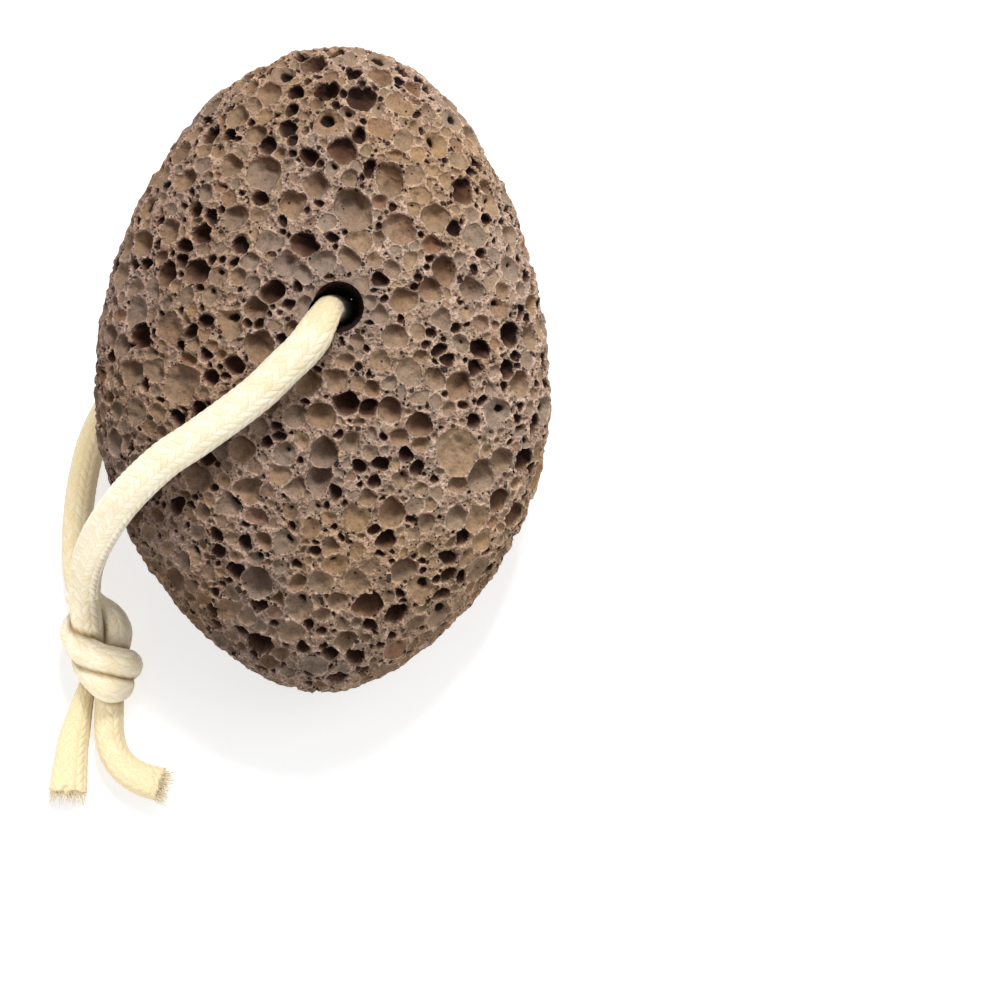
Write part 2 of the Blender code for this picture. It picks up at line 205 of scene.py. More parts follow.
# The knot's turns: the two leads that come in, and the two bands that wrap round them.
KNOT_TURNS = (
    ((-39.1, -32.1, 9.6), (-39.1, -35.2, 7.9), (-38.9, -38.2, 6.5), (-38.5, -41.9, 5.2), (-37.2, -44.8, 4.4)),
    ((-40.7, -31.3, 2.5), (-38.6, -33.3, 2.9), (-36.2, -35.0, 3.7), (-34.9, -37.4, 4.2), (-35.3, -40.3, 4.6)),
    (
        (-40.5, -35.3, 2.9),
        (-41.4, -37.2, 4.6),
        (-39.8, -40.3, 7.3),
        (-36.8, -42.3, 8.4),
        (-34.0, -42.9, 7.4),
        (-33.0, -42.8, 4.8),
        (-35.0, -42.8, 3.0),
    ),
    (
        (-40.0, -40.9, 3.2),
        (-39.0, -43.0, 5.2),
        (-37.5, -44.9, 6.8),
        (-35.6, -46.5, 6.9),
        (-34.4, -46.1, 5.0),
        (-34.8, -44.8, 2.9),
    ),
)

# The room that the cord has worn for itself in the stone, and the braid's own sizes.
CORD_ROOM = 2.75
CORD_GIRTH = 15.5
BRAID_COLUMNS = 12
BRAID_PITCH = 1.5
BRAID_SLANT = 0.42
BRAID_YARNS = 3.0
BRAID_HEIGHT = 0.10
TUBE_SIDES = 84
CAP_ROWS = 5
# The front part's width at some shares of its length: the hole's rim draws it in.
FRONT_WIDTHS = ((0.0, 0.76), (0.20, 0.78), (0.26, 1.0), (0.5, 1.0), (1.0, 1.05))
# How warm the cream is along the front and back parts: a warmer, darker cream that is partly dirt and partly painted
# shade, highest where the front part leaves the hole.
FRONT_WARMTH_AND_SHADE = ((0.0, 1.0), (0.19, 1.0), (0.27, 0.15), (0.6, 0.0), (1.0, 0.1))
BACK_WIDTHS = ((0.0, 1.0), (1.0, 1.0))
BACK_WARMTH_AND_SHADE = ((0.0, 0.6), (0.8, 0.6), (1.0, 0.4))
# The tails: widths and thicknesses in millimetres and how warm the cream is, from the knot to the loosened end. The
# warm cream is partly dirt and partly painted shade.
LEFT_TAIL = ((2.2, 4.7, 6.1), (3.6, 4.2, 3.6), (1.2, 1.1, 0.9))
RIGHT_TAIL = ((4.6, 4.7, 5.4), (4.5, 4.3, 4.0), (0.5, 0.6, 0.9))
LOOSE_REACH = 4.0
LOOSE_SIZE = 0.35
FIBRE_COUNT = 190
FIBRE_RADIUS = 0.055
FIBRE_ROWS = 5
FIBRE_SIDES = 3
# The braid's place that shows a fibre as the top of a stitch does: run in millimetres, and share of a turn.
FIBRE_SPOT = (BRAID_PITCH / 2, 0.5 / BRAID_COLUMNS)
# Painted shade darkens the cord where another stretch of cord is nearer than this to the surface.
CREASE_REACH = 1.1
TURN_WIDTH = 4.9
ROW_SPACING = 0.21
FRONT_MOUTH = (3.3, 3.4, 42.0)
BACK_MOUTH = (1.6, 11.5, 9.1)

# The stage: lights as name, place in metres, size in metres and share of the key's power.
LIGHTS = (
    ("key_light", (0.22, 0.62, 0.82), 0.26, 1.0),
    ("fill_light", (0.75, 0.10, 0.75), 0.60, 0.22),
    ("cord_light", (-0.11, -0.12, 0.12), 0.10, 0.019),
)
# The light that only the cord takes.
CORD_LIGHT = "cord_light"
FLOOR_REACH = 3.0
FLOOR_COLOUR = (0.55, 0.55, 0.55)
# The camera, in the stone's own frame: the point on its middle plane at the frame's centre,
# how far above it the camera is, and how much of the plane the frame is wide.
VIEW_CENTRE = (27.42, -20.16)
VIEW_DISTANCE = 700.0
VIEW_WIDTH = 154.5
SENSOR_WIDTH = 36.0


def unit(vectors):
    return vectors / np.linalg.norm(vectors, axis=-1, keepdims=True)


def smoothstep(low, high, value):
    """0 below low, 1 above high, and a smooth climb between them."""
    share = np.clip((value - low) / (high - low), 0, 1)
    return share * share * (3 - 2 * share)


def polynomial(terms, value):
    """The sum of each term times the value raised to the term's place."""
    return sum(term * value**power for power, term in enumerate(terms))


def half_width(along):
    return polynomial(HALF_WIDTH_TERMS, along)


def half_thickness(along):
    return STONE_THICKNESS / 2 * (1 - polynomial((0.0, *THIN_TERMS), along))


def lean(along):
    return polynomial((0.0, 0.0, *LEAN_TERMS), along)


def form_points(directions):
    """Points of the smooth stone: an ellipsoid whose width, lean and thickness vary along it."""
    across, along, up = directions.T
    return np.column_stack(
        (half_width(along) * across + lean(along), STONE_LENGTH / 2 * along, half_thickness(along) * up)
    )


def form_normals(directions):
    """Outward directions of the smooth stone, taken as those of the ellipsoid that fits there."""
    across, along, up = directions.T
    return unit(
        np.column_stack((across / half_width(along), along / (STONE_LENGTH / 2), up / half_thickness(along)))
    )


def directions_at(x, y, side):
    """The directions whose form points lie over (side 1) or under (side -1) these places on the face."""
    along = y / (STONE_LENGTH / 2)
    across = (x - lean(along)) / half_width(along)
    return unit(np.column_stack((across, along, side * np.sqrt(np.maximum(0.0, 1 - across**2 - along**2)))))


def resting_turn():
    """The turn from the stone's own frame to the way that it lies."""
    return Matrix.Rotation(REST_ROLL, 3, "Y") @ Matrix.Rotation(REST_PITCH, 3, "X")


def even_directions(count):
    """Directions spread evenly over a sphere along a golden spiral."""
    step = np.arange(count) + 0.5
    height = 1 - 2 * step / count
    ring = np.sqrt(1 - height**2)
    turn = step * math.pi * (3 - math.sqrt(5))
    return np.column_stack((ring * np.cos(turn), height, ring * np.sin(turn)))


def resting_height():
    """How far the stone's centre is above the surface, with the worn flat cut off."""
    down = np.array(resting_turn())[2]
    return -(form_points(even_directions(16000)) @ down).min() - WORN_DEPTH


def place_stone(points):
    """Stone-frame points in the frame that the part stands in."""
    return points @ np.array(resting_turn()).T + np.array((0, 0, resting_height()))


def waves(points, wavelength, count, seed):
    """Smooth noise from -1 to 1: the mean of sine waves that cross in random directions."""
    rng = np.random.default_rng(seed)
    turns = unit(rng.normal(size=(count, 3))) * (2 * math.pi / wavelength)
    turns *= rng.uniform(0.6, 1.5, (count, 1))
    starts = rng.uniform(0, 2 * math.pi, count)
    total = np.zeros(len(points))
    for turn, start in zip(turns, starts):
        total += np.sin(points @ turn + start)
    return total / math.sqrt(count)


def box_grid():
    """The lattice points on a box's six sides, their numbers, and the quads between them.

    Each side is a plain grid. A quad's corners run anticlockwise seen from outside.
    """
    steps = np.array(GRID_STEPS)
    shell = np.zeros(steps + 1, bool)
    for axis in range(3):
        np.moveaxis(shell, axis, 0)[[0, -1]] = True
    numbers = np.full(steps + 1, -1)
    numbers[shell] = np.arange(shell.sum())
    quads = []
    for axis in range(3):
        for end in (0, -1):
            side = np.moveaxis(numbers, axis, 0)[end]
            if (end == 0) == (axis != 1):
                side = side.T
            quads.append(np.stack((side[:-1, :-1], side[1:, :-1], side[1:, 1:], side[:-1, 1:]), -1).reshape(-1, 4))
    return np.argwhere(shell), numbers, quads


def blown_up(lattice):
    """Directions of lattice points: even angles, with more of the rows on the upper half."""
    across, along, up = (lattice / np.array(GRID_STEPS)).T
    up = up * (1 + GRID_UPWARD_GRADING) - GRID_UPWARD_GRADING * up**2
    quarter = math.pi / 4
    return unit(
        np.column_stack(
            (
                np.tan((2 * across - 1) * quarter),
                np.tan((2 * along - 1) * quarter),
                np.tan((2 * up - 1) * quarter) + GRID_UPWARD_SHIFT,
            )
        )
    )


def bend_round_hole(lattice, directions):
    """Turns the square rings of grid round the hole into circles, fading out over some rings.

    Returns the new directions and, for each face, the grid point nearest the hole and the face's level.
    """
    places = form_points(directions)
    result = directions.copy()
    block = []
    for side, level in ((1, GRID_STEPS[2]), (-1, 0)):
        face = np.flatnonzero(lattice[:, 2] == level)
        nearest = face[np.argmin(np.hypot(*(places[face, :2] - HOLE_PLACE).T))]
        step = lattice[face, :2] - lattice[nearest, :2]
        ring = np.abs(step).max(axis=1)
        first = HOLE_BLOCK // 2
        share = 1 - smoothstep(first, first + HOLE_BEND_RINGS, ring)
        near = (share > 0) & (ring > 0)
        step, ring, share, index = step[near], ring[near], share[near], face[near]
        wide = np.abs(step[:, 0]) >= np.abs(step[:, 1])
        lead = np.where(wide, step[:, 0], step[:, 1])
        other = np.where(wide, step[:, 1], step[:, 0])
        turn = math.pi / 4 * other / lead
        angle = np.where(wide, turn, math.pi / 2 - turn) + np.where(lead < 0, math.pi, 0)
        spacing = (first + HOLE_BEND_RINGS) ** -1.0 * np.hypot(*(places[index, :2] - HOLE_PLACE).T).max() * 0.82
        reach = HOLE_RADIUS + (ring - first) * spacing
        circle = np.column_stack((np.cos(angle), np.sin(angle))) * reach[:, None] + HOLE_PLACE
        moved = places[index, :2] * (1 - share[:, None]) + circle * share[:, None]
        result[index] = directions_at(moved[:, 0], moved[:, 1], side)
        block.append((nearest, level))
    return result, block


def hole_ring(lattice, numbers, block):
    """The grid points round the hole's mouth on one face, in order round it."""
    nearest, level = block
    i, j, _ = lattice[nearest]
    half = HOLE_BLOCK // 2
    run = np.arange(-half, half)
    i_steps = np.concatenate((run, np.full(HOLE_BLOCK, half), -run, np.full(HOLE_BLOCK, -half)))
    j_steps = np.concatenate((np.full(HOLE_BLOCK, -half), run, np.full(HOLE_BLOCK, half), -run))
    return numbers[i + i_steps, j + j_steps, level]


def inside_block(lattice, quads, block):
    """Which quads lie within the hole's mouth."""
    nearest, level = block
    middle = lattice[nearest]
    step = np.abs(lattice[quads] - middle)
    return (step[..., :2].max(axis=(1, 2)) <= HOLE_BLOCK // 2) & (lattice[quads][..., 2] == level).all(axis=1)


def scatter_bubbles():
    """Where the bubbles burst: the large pits first, then ever smaller ones wherever there is room.

    Returns centres on the form, reaches, depths and four random shares of each bubble.
    """
    rng = np.random.default_rng(BUBBLE_SEED)
    pits = np.array(LARGE_PITS)
    centres = form_points(directions_at(pits[:, 0], pits[:, 1], 1))
    reaches = pits[:, 2]
    depths = pits[:, 3]
    low, high = centres.min(axis=0), centres.max(axis=0)
    for largest, smallest, tries in BUBBLE_CLASSES:
        places = form_points(even_random(rng, tries))
        sizes = largest + (smallest - largest) * rng.uniform(0, 1, tries) ** 0.7
        sizes = np.sort(sizes)[::-1]
        for place, size in zip(places, sizes):
            away = np.hypot(place[0] - HOLE_PLACE[0], place[1] - HOLE_PLACE[1])
            if away < HOLE_RADIUS + 0.55 * size:
                continue
            offset = centres - place
            gap = np.sqrt(np.einsum("ij,ij->i", offset, offset)) - BUBBLE_CROWDING * (reaches + size)
            if gap.min() < 0:
                continue
            centres = np.vstack((centres, place))
            reaches = np.append(reaches, size)
    count = len(reaches)
    shares = rng.uniform(0, 1, (count, 6))
    deep_chance = np.interp(reaches, (0.5, 0.9, 1.3, 2.0), (0.45, 0.38, 0.26, 0.08))
    shallow_chance = np.interp(reaches, (0.6, 1.0, 1.8), (0.16, 0.34, 0.5))
    ratio = np.where(
        shares[:, 0] < deep_chance,
        1.3 + 0.6 * shares[:, 1],
        np.where(shares[:, 0] > 1 - shallow_chance, 0.30 + 0.2 * shares[:, 1], 0.6 + 0.45 * shares[:, 1]),
    )
    full = reaches * ratio
    full[: len(pits)] = depths
    return centres, reaches, full, shares


def even_random(rng, count):
    """Random directions whose form points lie evenly over the stone's surface."""
    tries = unit(rng.normal(size=(3 * count, 3)))
    across, along, up = tries.T
    a, b, c = half_width(along), STONE_LENGTH / 2, half_thickness(along)
    weight = np.sqrt((b * c * across) ** 2 + (a * c * along) ** 2 + (a * b * up) ** 2)
    kept = tries[rng.uniform(0, weight.max(), len(tries)) < weight]
    while len(kept) < count:
        kept = np.vstack((kept, kept))
    return kept[:count]


class BubbleField:
    """How far each point of the form is from the bubbles' edges.

    A bubble's gap is the distance to its centre, shortened along its own long axis, less its reach.
    Each point keeps its smallest gap, the next smallest, and which bubbles they belong to.
    """

    def __init__(self, points, centres, reaches, shares, normals):
        count = len(points)
        self.first = np.full(count, FAR)
        self.second = np.full(count, FAR)
        self.owner = np.zeros(count, int)
        self.rival = np.zeros(count, int)
        look = 1.2
        for number in range(len(centres)):
            offset = points - centres[number]
            near = np.flatnonzero(np.einsum("ij,ij->i", offset, offset) < (1.35 * reaches[number] + look) ** 2)
            if not len(near):
                continue
            offset = offset[near]
            stretch = 1.0 + 0.28 * shares[number, 2]
            turn = 2 * math.pi * shares[number, 3]
            side = np.cross(normals[number], (0.3, 1.0, 0.2))
            side /= np.linalg.norm(side)
            axis = side * math.cos(turn) + np.cross(normals[number], side) * math.sin(turn)
            square = np.einsum("ij,ij->i", offset, offset) + (stretch**-2 - 1) * (offset @ axis) ** 2
            gap = np.sqrt(square) * (1 + 0.08 * (stretch - 1)) - reaches[number]
            first, second = self.first[near], self.second[near]
            closer = gap < first
            runner_up = ~closer & (gap < second)
            self.second[near] = np.where(closer, first, np.where(runner_up, gap, second))
            self.rival[near] = np.where(closer, self.owner[near], np.where(runner_up, number, self.rival[near]))
            self.first[near] = np.where(closer, gap, first)
            self.owner[near] = np.where(closer, number, self.owner[near])

    def inside(self):
        """Distance from a bubble's edge, positive inside it and negative on the ridges."""
        between = (self.second - self.first) / 2
        blend = 0.25
        low = np.minimum(-self.first, between)
        spread = np.abs(-self.first - between)
        soft = low - blend * np.exp(-spread / blend) * 0.5 * (spread < 4 * blend)
        return np.where(self.first < 0, np.where(soft > 0, soft, np.minimum(low, 0.02)), -self.first)


def wobble(points):
    """Points shifted a little by smooth noise, so that no bubble is a perfect round."""
    shift = np.column_stack([waves(points, 4.5, 14, seed) for seed in (1, 2, 3)]) * 0.26
    fine = np.column_stack([waves(points, 1.9, 20, seed) for seed in (4, 5, 6)]) * 0.10
    return points + shift + fine


def drawn_to_ridges(points, directions, centres, reaches, shares, normals, spacing):
    """Moves each point that lies near a ridge onto it, along the form, so that ridges stay sharp."""
    field = BubbleField(wobble(points), centres, reaches, shares, normals)
    towards_owner = unit(points - centres[field.owner])
    towards_rival = unit(points - centres[field.rival])
    slope = towards_rival - towards_owner
    steep = np.maximum(np.einsum("ij,ij->i", slope, slope), 0.3)
    to_ridge = -((field.second - field.first) / steep)[:, None] * slope
    to_rim = -field.first[:, None] * towards_owner
    ridge_far = np.linalg.norm(to_ridge, axis=1)
    rim_far = np.abs(field.first)
    crowded = field.second < 0.05
    move = np.where(crowded[:, None], to_ridge, to_rim)
    far = np.where(crowded, ridge_far, rim_far)
    move = np.where((far < 0.5 * spacing)[:, None], move, 0.0)
    normal = form_normals(directions)
    move -= np.einsum("ij,ij->i", move, normal)[:, None] * normal
    return move, far < 0.5 * spacing


def back_to_form(points):
    """The directions of points that have slid along the form."""
    along = np.clip(points[:, 1] / (STONE_LENGTH / 2), -1, 1)
    across = (points[:, 0] - lean(along)) / half_width(along)
    up = points[:, 2] / half_thickness(along)
    return unit(np.column_stack((across, along, up)))


def local_spacing(points, quads):
    """The mean length of the grid's edges at each point."""
    total = np.zeros(len(points))
    count = np.zeros(len(points))
    for one, other in ((0, 1), (1, 2), (2, 3), (3, 0)):
        length = np.linalg.norm(points[quads[:, one]] - points[quads[:, other]], axis=1)
        for end in (one, other):
            total += np.bincount(quads[:, end], length, len(points))
            count += np.bincount(quads[:, end], minlength=len(points))
    return total / np.maximum(count, 1)


def split_quads(quads, points, drawn):
    """Cuts each quad in two along its ridge if one runs through it, or else the shorter way."""
    a, b, c, d = quads.T
    first = np.linalg.norm(points[a] - points[c], axis=1) - FAR * (drawn[a] & drawn[c])
    second = np.linalg.norm(points[b] - points[d], axis=1) - FAR * (drawn[b] & drawn[d])
    turned = np.where((second < first)[:, None], np.column_stack((b, c, d, a)), quads)
    return np.vstack((turned[:, [0, 1, 2]], turned[:, [0, 2, 3]]))


def face_normals(points, triangles):
    one, two, three = (points[triangles[:, corner]] for corner in range(3))
    return np.cross(two - one, three - one)


def still_where_folded(points, move, normals, quads):
    """Takes back the moves of points whose quads would fold over or thin out to nothing."""
    for _ in range(4):
        moved = points + move
        folded = np.zeros(len(points), bool)
        for corners in ((0, 1, 3), (1, 2, 0), (2, 3, 1), (3, 0, 2)):
            triangle = quads[:, corners]
            area = np.einsum("ij,ij->i", face_normals(moved, triangle), normals[triangle[:, 0]])
            before = np.einsum("ij,ij->i", face_normals(points, triangle), normals[triangle[:, 0]])
            folded[quads[area < 0.12 * before].ravel()] = True
        if not folded.any():
            break
        move = np.where(folded[:, None], move * 0.4, move)
    return move


def sunk_depths(inside, owner, reaches, depths, shares):
    """How far each point is sunk: bowls curve down from their rims, and deep bubbles drop steeply."""
    share = np.clip(inside / (0.92 * reaches[owner]), 0, 1)
    ratio = depths[owner] / reaches[owner]
    steepness = 0.95 - 0.5 * smoothstep(0.6, 1.2, ratio)
    return depths[owner] * (1 - (1 - share) ** 2) ** steepness


def window_bubbles(centres, reaches, depths, shares, normals, count_large):
    """Smaller, deeper bubbles that have burst through the floor of some larger ones."""
    some = (reaches > 0.95) & (shares[:, 4] < 0.30) & (depths < 0.8 * reaches)
    some[:count_large] = False
    size = reaches[some] * (0.16 + 0.34 * shares[some, 5])
    turn = 2 * math.pi * (0.22 + 0.38 * (shares[some, 1] - 0.5))
    normal = normals[some]
    side = unit(np.cross((0.0, 1.0, 0.0), normal))
    up = np.cross(normal, side)
    lead = side * np.cos(turn)[:, None] + up * np.sin(turn)[:, None]
    places = centres[some] + lead * (reaches[some] * (0.30 + 0.2 * shares[some, 3]))[:, None]
    return places, size, shares[some], normal


def push_clear(points, line, room):
    """Moves points that lie within this room of a line straight away from it."""
    low, high = line.min(axis=0) - room, line.max(axis=0) + room
    near = np.flatnonzero(((points > low) & (points < high)).all(axis=1))
    offset = points[near][:, None] - line[None]
    distance = np.linalg.norm(offset, axis=2)
    closest = distance.argmin(axis=1)
    offset = offset[np.arange(len(near)), closest]
    distance = distance[np.arange(len(near)), closest]
    inside = distance < room
    points = points.copy()
    points[near[inside]] += offset[inside] / distance[inside, None] * (room - distance[inside])[:, None]
    return points


def smooth_route(route, spacing, overrun=0.0):
    """Points at about this spacing on a smooth curve through a route, run on a little at both ends."""
    points = np.array(route, float)
    knots = np.concatenate(((0,), np.cumsum(np.sqrt(np.linalg.norm(np.diff(points, axis=0), axis=1)))))
    ghosts = np.vstack((2 * points[0] - points[1], points, 2 * points[-1] - points[-2]))
    slopes = (ghosts[2:] - ghosts[:-2]) / np.gradient(knots)[:, None] / 2
    fine = np.linspace(0, knots[-1], 40 * len(points))
    piece = np.clip(np.searchsorted(knots, fine, side="right") - 1, 0, len(points) - 2)
    span = (knots[piece + 1] - knots[piece])[:, None]
    share = (fine - knots[piece])[:, None] / span
    curve = (
        (2 * share**3 - 3 * share**2 + 1) * points[piece]
        + (share**3 - 2 * share**2 + share) * span * slopes[piece]
        + (3 * share**2 - 2 * share**3) * points[piece + 1]
        + (share**3 - share**2) * span * slopes[piece + 1]
    )
    if overrun:
        curve = np.vstack(
            (
                curve[0] - unit(curve[1] - curve[0]) * overrun,
                curve,
                curve[-1] + unit(curve[-1] - curve[-2]) * overrun,
            )
        )
    run = np.concatenate(((0,), np.cumsum(np.linalg.norm(np.diff(curve, axis=0), axis=1))))
    stops = np.linspace(0, run[-1], max(3, round(run[-1] / spacing) + 1))
    return np.column_stack([np.interp(stops, run, column) for column in curve.T])


def stone_skin():
    """The stone's whole skin: points, triangles, and what its finish needs to know at each point."""
    lattice, numbers, sides = box_grid()
    directions, blocks = bend_round_hole(lattice, blown_up(lattice))
    quads = np.vstack(sides)
    for block in blocks:
        quads = quads[~inside_block(lattice, quads, block)]
    used = np.zeros(len(lattice), bool)
    used[quads.ravel()] = True
    rings = [hole_ring(lattice, numbers, block) for block in blocks]

    points = form_points(directions)
    normals = form_normals(directions)
    centres, reaches, depths, shares = scatter_bubbles()
    bubble_normals = form_normals(back_to_form(centres))
    spacing = local_spacing(points, quads)
    move, _ = drawn_to_ridges(points, directions, centres, reaches, shares, bubble_normals, spacing)
    away = np.hypot(points[:, 0] - HOLE_PLACE[0], points[:, 1] - HOLE_PLACE[1])
    move[away < HOLE_RADIUS + 0.3] = 0.0
    move = still_where_folded(points, move, normals, quads)
    directions = back_to_form(points + move)
    points, normals = form_points(directions), form_normals(directions)

    felt = wobble(points)
    field = BubbleField(felt, centres, reaches, shares, bubble_normals)
    inside = field.inside()
    drawn = np.abs(inside) < 0.03
    drawn[np.concatenate(rings)] = True
    depth = np.where(inside > 0, sunk_depths(inside, field.owner, reaches, depths, shares), 0.0)
    places, sizes, window_shares, window_normals = window_bubbles(
        centres, reaches, depths, shares, bubble_normals, len(LARGE_PITS)
    )
    windows = BubbleField(felt, places, sizes, window_shares, window_normals)
    window = -windows.first
    opened = window > 0
    depth += np.where(
        opened & (inside > 0.1), 1.5 * sizes[windows.owner] * (1 - (1 - np.clip(window / sizes[windows.owner], 0, 1)) ** 2) ** 0.5, 0.0
    )
    window = np.where(inside > 0.1, window, -1.0)

    lowest = points[np.argmin(points @ np.array(resting_turn())[2])]
    from_flat = np.linalg.norm(points - lowest, axis=1)
    depth *= smoothstep(WORN_CLEAR_RADIUS - 1.5, WORN_CLEAR_RADIUS + 1.0, from_flat)
    by_mouth = smoothstep(HOLE_RADIUS, HOLE_RADIUS + 1.2, away) * 0.75 + 0.25
    depth *= by_mouth
    uneven = 0.16 * waves(points, 2.2, 30, 21) + 0.22 * waves(points, 9.0, 16, 22)
    rough = 0.05 * waves(points, 0.9, 30, 23)
    sink = depth + 0.18 + np.clip(uneven, -0.3, 0.6) + rough
    sink += HOLE_RIM_ROUNDING * np.exp(-np.maximum(away - HOLE_RADIUS, 0) / 0.5)
    share = np.clip(inside / reaches[field.owner], 0, 1)
    swing = np.interp(shares[field.owner, 5], (0, 1), BUBBLE_SWING)
    slide = unit(np.column_stack((swing, np.ones(len(swing)), np.zeros(len(swing)))))
    slide = slide - np.einsum("ij,ij->i", slide, normals)[:, None] * normals
    skin = points - normals * sink[:, None] + slide * (BUBBLE_LEAN * depth * share)[:, None]

    extra, extra_quads, extra_depth = hole_wall(skin, rings, len(skin))
    skin = np.vstack((skin, extra))
    grown = len(extra)
    # How deep each bubble is for its reach: the finish paints shade in the bubbles from it.
    dark = depth / reaches[field.owner]
    relief = np.column_stack((inside, dark, window))
    wall_relief = np.column_stack((np.full(grown, 0.6), np.full(grown, HOLE_DARK), np.full(grown, -1.0)))
    relief = np.vstack((relief, wall_relief))
    form = np.vstack((points, extra))

    triangles = split_quads(quads, skin, np.append(drawn, np.zeros(grown, bool)))
    lead = triangles[np.arange(len(triangles)), inside[triangles].argmax(axis=1)]
    owner = field.owner[lead]
    seat = (felt[triangles] - centres[owner][:, None]) / reaches[owner][:, None, None]
    lean_side = np.einsum("ijk,ik->ij", seat, slide[lead])
    bubble = np.stack((lean_side, np.linalg.norm(seat, axis=2), np.zeros(lean_side.shape)), -1)
    ratio = depths / reaches
    tint = np.column_stack((shares[owner][:, [1, 3]], ratio[owner]))
    tint = np.repeat(tint[:, None], 3, axis=1)
    walls = np.vstack((extra_quads[:, [0, 1, 2]], extra_quads[:, [0, 2, 3]]))
    triangles = np.vstack((triangles, walls))
    bubble = np.vstack((bubble, np.broadcast_to((0.9, 0.5, 1.0), (len(walls), 3, 3))))
    tint = np.vstack((tint, np.broadcast_to((0.3, 0.3, 2.0), (len(walls), 3, 3))))
    kept = np.append(used, np.ones(grown, bool))
    renumber = np.cumsum(kept) - 1
    skin = place_stone(skin[kept])
    for route in (FRONT_ROUTE, BACK_ROUTE):
        skin = push_clear(skin, smooth_route(route[:9], 0.3), CORD_ROOM)
    skin[:, 2] = np.maximum(skin[:, 2], 0.0)
    fields = {"relief": relief[kept], "tint": tint, "bubble": bubble, "form": form[kept] * MM}
    return skin, renumber[triangles], fields, np.append(drawn, np.zeros(grown, bool))[kept]


def hole_wall(skin, rings, first):
    """The drilled hole's wall: rows of points straight down from the mouth above to the one below."""
    top, bottom = skin[rings[0]], skin[rings[1]]
    count = len(top)
    share = np.linspace(0, 1, HOLE_ROWS + 1)[1:-1]
    share = share + 0.12 * np.sin(2 * math.pi * share) * -0.5
    angle = np.arctan2(top[:, 1] - HOLE_PLACE[1], top[:, 0] - HOLE_PLACE[0])
    circle = np.column_stack((np.cos(angle), np.sin(angle)))
    height = top[None, :, 2] * (1 - share[:, None]) + bottom[None, :, 2] * share[:, None]
    spots = np.column_stack((np.tile(circle * HOLE_RADIUS, (len(share), 1)), height.ravel()))
    rough = 0.12 * waves(spots, 1.6, 24, 31) + 0.08 * waves(spots, 0.8, 24, 32)
    reach = HOLE_RADIUS + rough - 0.05 - HOLE_WAIST * np.sin(math.pi * np.repeat(share, count))
    wall = np.column_stack((spots[:, :2] / HOLE_RADIUS * reach[:, None] + HOLE_PLACE, spots[:, 2]))
    numbers = first + np.arange(len(wall)).reshape(len(share), count)
    rows = np.vstack((rings[0], numbers, rings[1]))
    ahead = np.roll(rows, -1, axis=1)
    quads = np.stack((rows[:-1], ahead[:-1], ahead[1:], rows[1:]), -1).reshape(-1, 4)
    deep = np.minimum(share, 1 - share)[:, None] * np.abs(top[:, 2] - bottom[:, 2])[None, :]
    return wall, quads, deep.ravel()


def carried_sides(path, middle, side):
    """The direction across a flat cord at each point of its path, carried both ways from one point."""
    tangents = unit(np.gradient(path, axis=0))
    sides = np.zeros_like(path)
    for numbers in (range(middle, len(path)), range(middle, -1, -1)):
        carried = np.array(side, float)
        for number in numbers:
            carried = carried - tangents[number] * (carried @ tangents[number])
            carried /= np.linalg.norm(carried)
            sides[number] = carried
    return tangents, sides


def braid_relief(run, turn):
    """The braid's height, 0 to 1, this far along and this share of a turn round.

    Columns of stitches run along the cord, leaning one way and the other by turns. A stitch rises
    and falls like half an ellipse along its column, and so does the column across its width.
    """
    column = turn * BRAID_COLUMNS
    lane = np.floor(column)
    across = 2 * (column - lane) - 1
    way = np.where(lane % 2 < 1, 1.0, -1.0)
    phase = run / BRAID_PITCH + way * across * BRAID_SLANT + 0.5 * (lane % 2)
    beat = phase - np.floor(phase)
    along = np.sqrt(np.clip(4 * beat * (1 - beat), 0, 1))
    crown = np.sqrt(np.clip(1 - 0.85 * across**2, 0, 1))
    return along * crown


